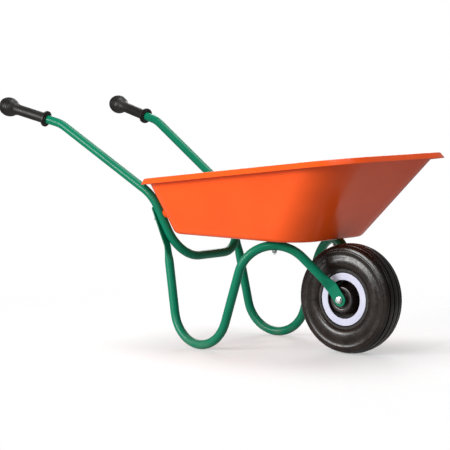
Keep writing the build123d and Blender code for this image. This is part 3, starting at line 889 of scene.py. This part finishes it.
@dataclass(frozen=True)
class Outline:
    """Rounded trapezoid in a tilted plane across the barrow."""

    rear: Vector
    tilt: float
    length: float
    rear_half: float
    front_half: float
    rear_corner: float
    front_corner: float
    arc_steps: int = 18
    side_steps: int = 16
    end_steps: int = 12

    def ring(self, inset: float, lift: float) -> list[Vector]:
        """Points of the outline, set in and lifted off its plane.

        Args:
            inset: how far the outline is set in.
            lift: how far it's lifted along the plane's normal.

        Returns:
            The points, the same count and order at every inset.
        """
        slope = (self.front_half - self.rear_half) / self.length
        rear = self.rear_half - inset + inset * slope
        front = self.front_half - inset - inset * slope
        run = self.length - 2 * inset
        corners = [Vector(c) for c in ((0, -rear, 0), (run, -front, 0), (run, front, 0), (0, rear, 0))]
        radii = [self.rear_corner, self.front_corner, self.front_corner, self.rear_corner]
        steps = [self.side_steps, self.end_steps, self.side_steps, self.end_steps]
        arcs = [
            round_corner(corners[i - 1], corners[i], corners[(i + 1) % 4], radii[i] - inset, self.arc_steps)
            for i in range(4)
        ]
        flat: list[Vector] = []
        for i, arc in enumerate(arcs):
            flat.extend(arc)
            following = arcs[(i + 1) % 4][0]
            flat.extend(arc[-1].lerp(following, k / steps[i]) for k in range(1, steps[i]))
        forward = Vector((math.cos(self.tilt), 0, math.sin(self.tilt)))
        normal = Vector((-math.sin(self.tilt), 0, math.cos(self.tilt)))
        origin = self.rear + forward * inset + normal * lift
        return [origin + forward * p.x + ACROSS * p.y for p in flat]


@dataclass(frozen=True)
class Tray:
    """Pressed-steel tray: floor, flared walls, rolled flange and a lip that slants down and out."""

    wall: float = 1.2 * MM
    flange: float = 25 * MM
    lip_flare: float = 13 * MM
    lip_height: float = 18 * MM
    floor_fillet: float = 24 * MM
    flange_fillet: float = 5 * MM
    lip_fillet: float = 5 * MM
    seat_radius: float = 11 * MM
    seat_blend: float = 6 * MM
    seat_sheet: float = 50 * MM
    wall_steps: int = 30
    rim: Outline = Outline(
        mm(-168, 0, 559), math.atan2(94.5, 921.5), 921.5 * MM / math.cos(math.atan2(94.5, 921.5)),
        284 * MM, 362 * MM, 108 * MM, 170 * MM,
    )
    floor: Outline = Outline(
        mm(-64, 0, 378.15), math.radians(-1), 550 * MM, 204 * MM, 224 * MM, 62 * MM, 118 * MM
    )

    def sections(self) -> list[list[Vector]]:
        """Cross-sections of the top surface, one for each point of the outline.

        Returns:
            The cross-sections, from the floor to the lip.
        """
        edge = self.floor.ring(self.wall, self.wall)
        inner = self.floor.ring(2 * self.floor_fillet, self.wall)
        top = self.rim.ring(self.flange + self.wall, 0)
        brow = self.rim.ring(self.lip_flare, 0)
        tip = self.rim.ring(0, -self.lip_height)
        made = []
        for start, foot, shoulder, crown, end in zip(inner, edge, top, brow, tip):
            bottom = round_corner(start, foot, shoulder, self.floor_fillet - self.wall, 8)
            bend = round_corner(foot, shoulder, crown, self.flange_fillet, 5)
            roll = round_corner(shoulder, crown, end, self.lip_fillet, 6)
            wall = [bottom[-1].lerp(bend[0], i / self.wall_steps) for i in range(1, self.wall_steps)]
            made.append([start, *bottom, *wall, *bend, *roll, end])
        return made

    def press_seats(self, obj: bpy.types.Object, layout: Layout) -> None:
        """Press the flat seats of the rear bolts into the wall.

        Args:
            obj: the tray, still one surface.
            layout: the shared places.
        """
        for side in Side:
            place, inward = layout.rear_bolt(side)
            for vertex in obj.data.vertices:
                offset = vertex.co - place
                height = offset.dot(inward)
                reach = (offset - inward * height).length
                if reach < self.seat_radius + self.seat_blend and height < self.seat_sheet:
                    share = ease((self.seat_radius + self.seat_blend - reach) / self.seat_blend)
                    vertex.co += inward * (self.wall - height) * share

    def build(self, layout: Layout, palette: Palette) -> list[bpy.types.Object]:
        """Raise the surface from the floor outwards, press the seats and give it its thickness.

        Args:
            layout: the shared places.
            palette: the finishes.

        Returns:
            The dressed pieces.
        """
        rings = [list(ring) for ring in zip(*self.sections())]
        centre = sum(rings[0], Vector()) / len(rings[0])
        inner = [[centre.lerp(p, share) for p in rings[0]] for share in (0.15, 0.4, 0.7)]
        skin = Skin("tray_shell", inner[0])
        for ring in inner[1:] + rings:
            skin.raise_to(ring)
        skin.cap_first(len(rings[0]))
        obj = skin.finish()
        if obj.data.polygons[-1].normal.z < 0:
            obj.data.flip_normals()
        self.press_seats(obj, layout)
        apply_modifier(obj, "SOLIDIFY", thickness=self.wall, offset=-1.0, use_even_offset=True)
        smooth(obj, 40)
        return [dress(obj, palette.orange, Body.FRAME, ["tray"])]


def route(corners: list[Vector], radii: list[float], steps: int = 16) -> list[tuple[Vector, Vector]]:
    """Stations along straight runs joined by bends.

    Args:
        corners: the runs' corners, ends included.
        radii: the bend at each inner corner.
        steps: how many steps each bend has.

    Returns:
        (place, direction) of every station.
    """
    first = (corners[1] - corners[0]).normalized()
    stations = [(corners[0], first)]
    for before, corner, after, radius in zip(corners, corners[1:], corners[2:], radii):
        first = (corner - before).normalized()
        turn = first.rotation_difference((after - corner).normalized())
        for i, place in enumerate(round_corner(before, corner, after, radius, steps)):
            stations.append((place, Matrix.Rotation(turn.angle * i / steps, 3, turn.axis) @ first))
    stations.append((corners[-1], (corners[-1] - corners[-2]).normalized()))
    return stations


@dataclass(frozen=True)
class HandleTube:
    """One bent tube from grip to grip, behind and below the tray."""

    inset: float = 18.15 * MM
    bends: tuple[float, ...] = (128 * MM, 140 * MM, 117 * MM)
    facets: int = 32

    def build(self, layout: Layout, palette: Palette) -> list[bpy.types.Object]:
        """Raise the tube station by station, its section carried along without twist.

        Args:
            layout: the shared places.
            palette: the finishes.

        Returns:
            The dressed pieces.
        """
        right = layout.handle_corners(Side.RIGHT)
        left = layout.handle_corners(Side.LEFT)
        right[0] += (right[1] - right[0]).normalized() * self.inset
        left[0] += (left[1] - left[0]).normalized() * self.inset
        stations = route(right + left[::-1], [*self.bends, *self.bends[::-1]])
        across = stations[0][1].orthogonal()
        rings = []
        for place, direction in stations:
            across = (across - direction * across.dot(direction)).normalized()
            beside = direction.cross(across)
            turns = [FULL_TURN * i / self.facets for i in range(self.facets)]
            rings.append(
                [place + (across * math.cos(t) + beside * math.sin(t)) * layout.tube_radius for t in turns]
            )
        obj = smooth(raised("handle_bar", rings))
        return [dress(obj, palette.green, Body.FRAME, ["handle_tube"])]


@dataclass(frozen=True)
class Leg:
    """Leg tube: flat top, loop on the ground, arch under the tray, flat end at the axle."""

    foot: Vector = mm(76.5, -213.7, 15)
    foot_bend: float = 119.5 * MM
    arch_bend: float = 125 * MM
    top_width: float = 32 * MM
    axle_width: float = 44 * MM
    plate_length: float = 48 * MM
    flattening: float = 55 * MM
    corner: float = 9 * MM
    facets: int = 32
    top_along: float = -188 * MM
    top_level: float = 466 * MM
    set_level: float = 334 * MM
    settling_steps: int = 60

    def corners(self, layout: Layout) -> tuple[Vector, Vector, Vector, Vector, Vector, Vector]:
        """The right leg's top, set, foot and arch corners, axle end and axle point.

        Args:
            layout: the shared places.

        Returns:
            The six places, in that order.
        """
        offset = 2 * layout.tube_offset + layout.plate / 2
        top = layout.behind_wall(self.top_along, self.top_level, offset)
        set_point = layout.behind_wall(self.top_along, self.set_level, offset)
        axle = layout.axle - ACROSS * layout.plate_y
        foot = self.foot + DOWN * self.foot_bend
        arch = layout.crest + UP * self.arch_bend
        end = axle
        for _ in range(self.settling_steps):
            foot = foot + self.foot - bend_extreme(set_point, foot, arch, self.foot_bend, DOWN)
            end = axle - Vector((axle.x - arch.x, 0, axle.z - arch.z)).normalized() * self.plate_length
            arch = arch + layout.crest - bend_extreme(foot, arch, end, self.arch_bend, UP)
        return top, set_point, foot, arch, end, axle

    def ring(
        self, place: Vector, direction: Vector, radius: float, wide: float, upright: bool,
        flat: float, thin: float,
    ) -> list[Vector]:
        """A section between round and flat.

        Args:
            place: the section's centre.
            direction: along the tube.
            radius: the round tube's radius.
            wide: the flat section's width.
            upright: whether the flat section stands across Y, not along it.
            flat: 0 for round, 1 for flat.
            thin: the flat section's thickness.

        Returns:
            The section's points.
        """
        across = (ACROSS - direction * ACROSS.dot(direction)).normalized()
        beside = direction.cross(across)
        made = []
        for i in range(self.facets):
            turn = FULL_TURN * (i + 0.5) / self.facets
            c, s = math.cos(turn), math.sin(turn)
            broad = wide / 2 * (s if upright else c)
            narrow = thin / 2 * max(-1.0, min(1.0, 2.6 * (c if upright else s)))
            u, v = (narrow, broad) if upright else (broad, narrow)
            u, v = radius * c * (1 - flat) + u * flat, radius * s * (1 - flat) + v * flat
            made.append(place + across * u + beside * v)
        return made

    def rings(self, layout: Layout) -> list[list[Vector]]:
        """Every section of the right leg, from its top to its axle end.

        Args:
            layout: the shared places.

        Returns:
            The sections.
        """
        top, set_point, foot, arch, end, axle = self.corners(layout)
        radius, thin = layout.tube_radius, layout.plate
        plate_dir = (set_point - top).normalized()
        down = (foot - set_point).normalized()
        towards = (end - arch).normalized()
        run = (axle - end).normalized()
        made = []
        for k in range(6, -1, -1):
            turn = math.radians(14 * k)
            width = self.top_width - 2 * self.corner * (1 - math.cos(turn))
            place = top + plate_dir * self.corner * (1 - math.sin(turn))
            made.append(self.ring(place, plate_dir, radius, width, False, 1.0, thin))
        for k in range(11):
            share = k / 10
            place = set_point + down * (self.flattening * share)
            direction = plate_dir.lerp(down, ease(share * 2)).normalized()
            made.append(self.ring(place, direction, radius, self.top_width, False, 1 - ease(share), thin))
        round_top = set_point + down * self.flattening
        round_end = end - towards * self.flattening
        bends = [self.foot_bend, self.arch_bend]
        for place, direction in route([round_top, foot, arch, round_end], bends, 22)[1:-1]:
            made.append(self.ring(place, direction, radius, self.top_width, False, 0.0, thin))
        for k in range(11):
            share = k / 10
            place = round_end + towards * (self.flattening * share)
            direction = towards.lerp(run, ease(share * 2 - 1)).normalized()
            made.append(self.ring(place, direction, radius, self.axle_width, True, ease(share), thin))
        for k in range(8):
            turn = math.radians(12 * k)
            place = axle + run * (self.axle_width / 2 * math.sin(turn))
            width = self.axle_width * math.cos(turn)
            made.append(self.ring(place, run, radius, width, True, 1.0, thin))
        return made

    def build(self, layout: Layout, palette: Palette) -> list[bpy.types.Object]:
        """Raise the right leg and mirror it.

        Args:
            layout: the shared places.
            palette: the finishes.

        Returns:
            The dressed pieces.
        """
        right = raised("leg_right", self.rings(layout))
        left = mirrored(right, "leg_left")
        return [
            dress(smooth(obj), palette.green, Body.FRAME, [node])
            for obj, node in ((right, "right_leg_tube"), (left, "left_leg_tube"))
        ]


@dataclass(frozen=True)
class Grip:
    """Black grip: ringed knob, conical neck, body and flange. Distances along it in millimetres."""

    knob: float = 33.5
    centre: float = 31.0
    tail: float = 21.0
    neck: float = 78.0
    body: float = 18.5
    ridges: tuple[float, ...] = (16.0, 24.0, 32.0, 40.0)

    def knob_radius(self, along: float) -> float:
        """The knob's radius at a distance from the outer end.

        Args:
            along: the distance.

        Returns:
            The radius.
        """
        rise = self.knob - self.tail
        arc = (self.centre**2 + rise**2) / (2 * rise)
        return self.knob - arc + math.sqrt(arc**2 - (along - self.centre) ** 2)

    def section(self) -> Section:
        """The closed half section, from the blind end of the bore round the outside.

        Returns:
            Its points, (distance, radius).
        """
        points: Section = [(0.0, 0.0), (0.0, self.tail - 4.0), (0.8, self.tail - 1.2)]
        points.append((2.5, self.knob_radius(2.5)))
        along = 4.0
        while along < 2 * self.centre - 4:
            depth = 0.0
            for ridge in self.ridges:
                depth = max(depth, 1.6 * ease(1.6 - abs(along - ridge - 1.5) / 1.3))
            points.append((along, self.knob_radius(along) - depth))
            along += 0.6 if 14 < along < 45 else 2.0
        points += [(60.5, 22.0), (64.0, 21.0), (70.0, 19.7), (74.5, 18.95), (self.neck, self.body)]
        points += [(100.0, self.body), (130.0, self.body), (160.0, self.body), (183.0, self.body)]
        points += [(186.0, 19.2), (187.6, 20.8), (188.2, 23.0), (188.2, 26.6), (189.4, 27.8), (191.0, 28.0)]
        points += [(193.5, 28.0), (195.0, 27.7), (196.0, 26.6), (196.0, 22.6), (196.6, 22.0), (199.2, 22.0)]
        return [*points, (200.0, 21.2), (200.0, 15.15), (18.0, 15.15), (18.0, 0.0)]

    def build(self, layout: Layout, palette: Palette) -> list[bpy.types.Object]:
        """Spin the section round each handle end.

        Args:
            layout: the shared places.
            palette: the finishes.

        Returns:
            The dressed pieces.
        """
        made = []
        for side, node in ((Side.RIGHT, "right_grip"), (Side.LEFT, "left_grip")):
            end, bend, _, _ = layout.handle_corners(side)
            section = [(along * MM, radius * MM) for along, radius in self.section()]
            obj = spun(f"grip_{side.name.lower()}", section, end, bend - end, 48)
            made.append(dress(smooth(obj), palette.grip, Body.FRAME, [node]))
        return made


def hexagon(
    name: str, origin: Vector, normal: Vector, height: float, flats: float, dome: bool
) -> bpy.types.Object:
    """Hexagonal head or nut, its corners chamfered by a cone.

    Args:
        name: the piece's name.
        origin: the centre of its first face.
        normal: the direction that it rises in.
        height: its height.
        flats: its width across flats.
        dome: whether only the far face is chamfered.

    Returns:
        The piece.
    """
    across = normal.orthogonal().normalized()
    beside = normal.cross(across)
    chamfer = HEX_CHAMFER * flats

    def ring(level: float, limit: float) -> list[Vector]:
        """One section, its corners held within a limit.

        Args:
            level: its height over the first face.
            limit: the largest distance of its corners from the middle.

        Returns:
            The section.
        """
        made = []
        for i in range(HEX_POINTS):
            turn = FULL_TURN * i / HEX_POINTS
            within = (turn % (FULL_TURN / 6)) - FULL_TURN / 12
            radius = min(flats / 2 / math.cos(within), limit)
            outwards = across * math.cos(turn) + beside * math.sin(turn)
            made.append(origin + normal * level + outwards * radius)
        return made

    full = flats / 2 / math.cos(math.pi / 6)
    levels = [(0.0, full if dome else flats / 2 * 0.97)]
    if not dome:
        levels += [(chamfer * k / 3 * 0.6, flats / 2 + (full - flats / 2) * k / 3) for k in (1, 2, 3)]
    levels += [(height - chamfer * k / 3 * 0.6, flats / 2 + (full - flats / 2) * k / 3) for k in (3, 2, 1)]
    levels += [(height, flats / 2 * 0.97)]
    return raised(name, [ring(level, limit) for level, limit in levels])


def threaded(start: float, end: float, radius: float, pitch: float) -> Section:
    """Zigzag of a thread along a shank, from start to end.

    Args:
        start: where the thread starts.
        end: the shank's end.
        radius: the shank's radius.
        pitch: the thread's pitch.

    Returns:
        The zigzag's points.
    """
    points: Section = []
    along = start
    while along + pitch < end - pitch:
        points += [(along, radius), (along + pitch / 2, radius - 0.5 * pitch)]
        along += pitch
    return [*points, (along, radius), (end - 0.4 * pitch, radius * 0.97), (end, radius * 0.82)]


@dataclass(frozen=True)
class TrayFasteners:
    """Mushroom-head bolts, washers and nuts of the rear wall and of the floor."""

    radius: float = 4 * MM
    head_radius: float = 10 * MM
    head: float = 4.5 * MM
    washer: float = 1.6 * MM
    washer_radius: float = 8.5 * MM
    nut: float = 6.5 * MM
    flats: float = 13 * MM
    past_nut: float = 5 * MM
    wall: float = 1.2 * MM

    def bolt_section(self, stack: float) -> Section:
        """Domed head and threaded shank, distances counted into the tray's outside.

        Args:
            stack: how much the bolt clamps.

        Returns:
            The closed section.
        """
        end = stack + self.washer + self.nut + self.past_nut
        rises = [math.radians(9 * k) for k in range(10)]
        dome = [
            (-self.wall - self.head * math.cos(rise), self.head_radius * math.sin(rise)) for rise in rises
        ]
        shank = threaded(0.45 * end, end, self.radius, 1.25 * MM)
        return [*dome, (-self.wall, self.head_radius * 0.99), (-self.wall, self.radius), *shank, (end, 0.0)]

    def build(self, layout: Layout, palette: Palette) -> list[bpy.types.Object]:
        """Spin the bolts and washers, and raise the nuts.

        Args:
            layout: the shared places.
            palette: the finishes.

        Returns:
            The dressed pieces.
        """
        made = []
        plans = (
            ("rear", layout.rear_bolt, 2 * layout.tube_offset + layout.plate),
            ("floor", layout.floor_bolt, 2 * layout.tube_offset + layout.washer_sag),
        )
        for group, place_of, stack in plans:
            bolts, washers, nuts = [], [], []
            for side in Side:
                place, inward = place_of(side)
                outward = -inward
                bolts.append(spun("bolt", self.bolt_section(stack), place, outward, 32))
                rim = self.washer_radius
                ring = [(stack, self.radius), (stack, rim - 0.2 * MM), (stack + 0.2 * MM, rim)]
                ring += [(stack + self.washer - 0.2 * MM, rim), (stack + self.washer, rim - 0.2 * MM)]
                ring += [(stack + self.washer, self.radius)]
                washers.append(spun("washer", ring, place, outward, 32))
                nut_place = place + outward * (stack + self.washer)
                nuts.append(hexagon("nut", nut_place, outward, self.nut, self.flats, False))
            for label, shapes in (("bolts", bolts), ("washers", washers), ("nuts", nuts)):
                obj = smooth(joined(f"{group}_{label}_set", shapes), 30)
                made.append(dress(obj, palette.zinc, Body.FRAME, [f"{group}_{label}"]))
        return made


@dataclass(frozen=True)
class AxleSet:
    """Axle bolt with its head on the right, its nut, the washers and the sleeve."""

    radius: float = 6 * MM
    flats: float = 19 * MM
    head: float = 7.5 * MM
    nut: float = 10 * MM
    washer: float = 2.5 * MM
    washer_radius: float = 12 * MM
    sleeve_radius: float = 8.5 * MM
    past_nut: float = 5 * MM

    def build(self, layout: Layout, palette: Palette) -> list[bpy.types.Object]:
        """Spin the round pieces and raise the hexagons.

        Args:
            layout: the shared places.
            palette: the finishes.

        Returns:
            The dressed pieces.
        """
        outer = layout.plate_y + layout.plate / 2
        inner = layout.plate_y - layout.plate / 2
        seat = outer + self.washer
        end = seat + self.nut + self.past_nut
        thread = threaded(0.6 * end, end, self.radius, 1.75 * MM)
        shank: Section = [(-seat, 0.0), (-seat, self.radius), *thread]
        bolt = spun("axle_shank", [*shank, (end, 0.0)], layout.axle, ACROSS, 40)
        head = hexagon("axle_head", layout.axle - ACROSS * seat, -ACROSS, self.head, self.flats, True)
        nut = hexagon("axle_lock_nut", layout.axle + ACROSS * seat, ACROSS, self.nut, self.flats, False)
        washers = []
        for side in Side:
            rim = self.washer_radius
            edge = 0.25 * MM
            ring = [(outer, self.radius), (outer, rim - edge), (outer + edge, rim), (seat - edge, rim)]
            ring += [(seat, rim - edge), (seat, self.radius)]
            washers.append(spun("axle_washer", ring, layout.axle, ACROSS * side.value, 48))
        tube = [(-inner, self.radius + 0.25 * MM), (-inner, self.sleeve_radius)]
        tube += [(inner, self.sleeve_radius), (inner, self.radius + 0.25 * MM)]
        sleeve = spun("spacer_sleeve", tube, layout.axle, ACROSS, 40)
        groups = (
            (joined("axle_bolt_piece", [bolt, head]), "axle_bolt"),
            (nut, "axle_nut"),
            (joined("axle_washer_pair", washers), "axle_washers"),
            (sleeve, "axle_sleeve"),
        )
        return [
            dress(smooth(obj, 30), palette.zinc, Body.FRAME, [node]) for obj, node in groups
        ]


@dataclass(frozen=True)
class Wheel:
    """Puncture-proof tyre, moulded rim, trim rings and hub bushes. Sizes in millimetres."""

    steps: int = 128

    def half_tyre(self) -> Section:
        """One side of the tyre's section, (Y, radius), from its bead out and up to the crown's middle.

        Returns:
            Its points.
        """
        bead: Section = [(24.3, 93.5), (36.4, 93.5), (36.8, 94.0), (36.8, 99.4), (39.5, 99.4)]
        wall: Section = [
            (41.6, 100.4), (44.6, 104.2), (46.9, 109.5), (48.1, 115.5), (48.5, 122.0), (48.2, 128.0),
            (47.2, 133.5), (45.9, 138.2), (45.0, 142.5), (44.9, 147.0), (45.4, 151.0), (46.3, 154.0),
            (46.6, 156.5), (46.2, 158.6), (45.2, 160.0), (44.6, 162.5), (43.9, 166.5), (42.8, 169.8),
            (41.0, 172.2), (37.5, 174.0),
        ]
        tread: Section = [
            (33.2, 175.3), (32.6, 174.9), (32.1, 171.6), (30.0, 171.0), (27.9, 171.9), (27.4, 176.2),
            (26.6, 177.1), (21.0, 178.3), (15.4, 179.1), (14.6, 178.8), (14.1, 175.4), (12.0, 175.0),
            (9.9, 175.5), (9.4, 179.2), (8.6, 179.7), (4.3, 180.0),
        ]
        return bead + wall + tread

    def tyre_section(self) -> Section:
        """The whole section, its hollow included.

        Returns:
            Its points.
        """
        half = self.half_tyre()
        hollow: Section = [
            (24.3, 98.0), (33.0, 101.0), (38.0, 108.0), (39.5, 122.0), (37.5, 145.0), (34.0, 160.0),
            (20.0, 166.5),
        ]
        far = [(-y, r) for y, r in reversed(half)]
        inner = [(-y, r) for y, r in hollow] + [(0.0, 168.0)] + list(reversed(hollow))
        return [*half, (0.0, 180.0), *far, *inner]

    def rim_section(self) -> Section:
        """Flanges, seat, drop centre, thin web with a rib under each trim ring, and the tapered hub.

        Returns:
            Its points.
        """
        half: Section = [
            (4.0, 78.0), (4.0, 68.0), (5.0, 67.5), (36.2, 67.3), (36.7, 66.8), (36.7, 64.4),
            (36.2, 63.9), (5.5, 63.4), (4.2, 61.0), (4.4, 58.0), (6.0, 51.0), (10.5, 46.5),
            (18.0, 44.0), (30.0, 42.6), (52.5, 42.0), (53.6, 41.6), (54.0, 40.6), (54.0, 31.0),
            (53.6, 30.2), (50.5, 29.8), (50.0, 29.2), (50.0, 22.4), (50.4, 21.8), (53.6, 21.6),
            (54.0, 21.2), (54.0, 13.0),
        ]
        outer: Section = [
            (12.0, 84.0), (18.0, 92.4), (20.0, 93.0), (36.4, 93.0), (37.0, 93.6), (37.0, 98.2),
            (37.8, 99.0), (40.2, 99.0), (41.0, 98.2), (41.0, 90.2), (40.2, 89.2), (20.0, 89.0),
            (16.0, 86.0), (12.5, 80.4), (8.0, 79.8), (4.4, 79.4),
        ]
        side = outer + half
        return [*side, *[(-y, r) for y, r in reversed(side)]]

    def ring_section(self, side: Side) -> Section:
        """Trim ring: slightly crowned face with soft edges.

        Args:
            side: the side that it faces.

        Returns:
            Its points.
        """
        s = side.value
        face: Section = [(37.0, 64.1), (37.3, 63.5), (39.4, 63.5), (40.0, 64.1), (40.1, 66.0), (40.3, 75.0)]
        face += [(40.1, 84.0), (40.0, 85.9), (39.4, 86.5), (37.3, 86.5), (37.0, 85.9)]
        return [(s * y, r) for y, r in face]

    def build(self, layout: Layout, palette: Palette) -> list[bpy.types.Object]:
        """Spin every piece round the axle.

        Args:
            layout: the shared places.
            palette: the finishes.

        Returns:
            The dressed pieces.
        """

        def turned(name: str, section: Section, steps: int) -> bpy.types.Object:
            """Spin one millimetre section round the axle."""
            scaled = [(along * MM, radius * MM) for along, radius in section]
            return smooth(spun(name, scaled, layout.axle, ACROSS, steps), 32)

        tyre = turned("tyre_casing", self.tyre_section(), self.steps)
        rim = turned("rim_moulding", self.rim_section(), 96)
        made = [
            dress(tyre, palette.tyre, Body.WHEEL, ["tyre"]),
            dress(rim, palette.rim, Body.WHEEL, ["wheel_rim"]),
        ]
        for side in Side:
            label = side.name.lower()
            ring = turned(f"trim_ring_{label}", self.ring_section(side), 96)
            made.append(dress(ring, palette.ring, Body.WHEEL, [f"{label}_trim_ring"]))
            s = side.value
            flange: Section = [
                (30.0, 8.7), (30.0, 12.9), (54.0, 12.9), (54.1, 17.6), (54.5, 18.0), (58.2, 18.0),
                (58.8, 17.4), (58.8, 9.2), (58.4, 8.7),
            ]
            bush = turned(f"hub_bush_{label}", [(s * y, r) for y, r in flange], 48)
            made.append(dress(bush, palette.bush, Body.WHEEL, [f"{label}_hub_bush"]))
        return made


# ---------------------------------------------------------------------------------------------
# Studio
# ---------------------------------------------------------------------------------------------


@dataclass(frozen=True)
class Camera:
    """Camera at front right, a little above the tray's rim."""

    lens: float = 156.95
    yaw: float = math.radians(38.68)
    pitch: float = math.radians(4.3)
    roll: float = math.radians(-0.42)
    distance: float = 6.70023
    target: Vector = mm(17.0, 0, 397.7)

    def build(self) -> None:
        """Place the camera and make it the scene's own."""
        back = Vector((
            math.sin(self.yaw) * math.cos(self.pitch),
            -math.cos(self.yaw) * math.cos(self.pitch),
            math.sin(self.pitch),
        ))
        level = Vector((math.cos(self.yaw), math.sin(self.yaw), 0))
        upright = back.cross(level)
        right = level * math.cos(self.roll) + upright * math.sin(self.roll)
        top = upright * math.cos(self.roll) - level * math.sin(self.roll)
        bpy.ops.object.camera_add()
        obj = bpy.context.object
        obj.name = "view_camera"
        turn = Matrix((right, top, back)).transposed()
        obj.matrix_world = Matrix.Translation(self.target + back * self.distance) @ turn.to_4x4()
        obj.data.lens = self.lens
        obj.data.sensor_width = 36.0
        obj.data.clip_end = 60.0
        obj.data.dof.use_dof = False
        bpy.context.scene.camera = obj


@dataclass(frozen=True)
class Softbox:
    """One soft area light that looks at a point."""

    name: str
    place: tuple[float, float, float]
    aim: tuple[float, float, float]
    width: float
    height: float
    watts: float

    def build(self) -> None:
        """Place the light."""
        bpy.ops.object.light_add(type="AREA", location=self.place)
        obj = bpy.context.object
        obj.name = self.name
        obj.data.shape = "RECTANGLE"
        obj.data.size = self.width
        obj.data.size_y = self.height
        obj.data.energy = self.watts
        towards = Vector(self.aim) - Vector(self.place)
        obj.rotation_euler = towards.to_track_quat("-Z", "Y").to_euler()


@dataclass(frozen=True)
class Studio:
    """Pale floor that fades into a pale room, three softboxes and the camera."""

    camera: Camera = Camera()
    ambient: float = 0.24
    floor_size: float = 9.0
    lights: tuple[Softbox, ...] = (
        Softbox("key_softbox", (-1.7, -4.4, 1.5), (0.1, 0, 0.4), 2.4, 1.6, 205.0),
        Softbox("top_softbox", (0.2, 0.4, 3.8), (0, 0, 0.3), 2.6, 1.8, 85.0),
        Softbox("front_softbox", (3.2, -2.4, 2.4), (0.4, 0, 0.3), 1.0, 1.2, 12.0),
        Softbox("rear_softbox", (-2.2, 3.4, 2.4), (0, 0, 0.4), 2.2, 1.8, 50.0),
        Softbox("edge_strip", (1.0, -3.6, 2.2), (0.4, 0, 0.25), 0.3, 1.6, 30.0),
    )

    def build(self) -> None:
        """Set the room up."""
        self.camera.build()
        for light in self.lights:
            light.build()
        self.room()
        self.floor()
        bpy.context.scene.view_settings.view_transform = "Standard"

    def room(self) -> None:
        """A room that's white to the camera and softer as a light."""
        world = bpy.data.worlds.new("pale_room")
        world.use_nodes = True
        world.node_tree.nodes.clear()
        wiring = Wiring(world.node_tree)
        seen = wiring.node("ShaderNodeBackground", None, Color=(1, 1, 1, 1), Strength=1.0)
        lit = wiring.node("ShaderNodeBackground", None, Color=(0.96, 0.98, 1, 1), Strength=self.ambient)
        path = wiring.node("ShaderNodeLightPath")
        mix = wiring.node("ShaderNodeMixShader")
        wiring.feed(mix.inputs[0], path.outputs["Is Camera Ray"])
        wiring.feed(mix.inputs[1], lit.outputs[0])
        wiring.feed(mix.inputs[2], seen.outputs[0])
        wiring.node("ShaderNodeOutputWorld", None, Surface=mix.outputs[0])
        bpy.context.scene.world = world

    def floor(self) -> None:
        """A pale floor with a faint mottle, faded out towards its edges."""
        bpy.ops.mesh.primitive_plane_add(size=self.floor_size, location=(0, 0, 0))
        obj = bpy.context.object
        obj.name = "studio_floor"
        material, wiring, shader, place = new_material("studio_paper")
        mottle = wiring.ranged(wiring.noise(place, 3.0, 3.0), 0.3, 0.7, 0.0, 1.0)
        paper = wiring.mixed(mottle, (0.9, 0.9, 0.9, 1), (0.93, 0.93, 0.93, 1))
        wiring.feed(shader.inputs["Base Color"], paper)
        shader.inputs["Roughness"].default_value = 0.7
        flat = wiring.node("ShaderNodeVectorMath", {"operation": "LENGTH"})
        wiring.feed(flat.inputs[0], place)
        fade = wiring.ranged(flat.outputs["Value"], 0.6, 1.8, 0.6, 0.0)
        wiring.feed(shader.inputs["Alpha"], fade)
        obj.data.materials.append(material)


def main() -> None:
    """Build every sub-assembly in order, then the studio."""
    logging.basicConfig(level=logging.INFO, format="%(message)s")
    palette = Palette()
    layout = Layout()
    pieces: list[bpy.types.Object] = []
    for assembly in (Tray(), HandleTube(), Leg(), Grip(), TrayFasteners(), AxleSet(), Wheel()):
        pieces.extend(assembly.build(layout, palette))
    log.info("%d pieces", len(pieces))
    Studio().build()


if __name__ == "__main__":
    main()
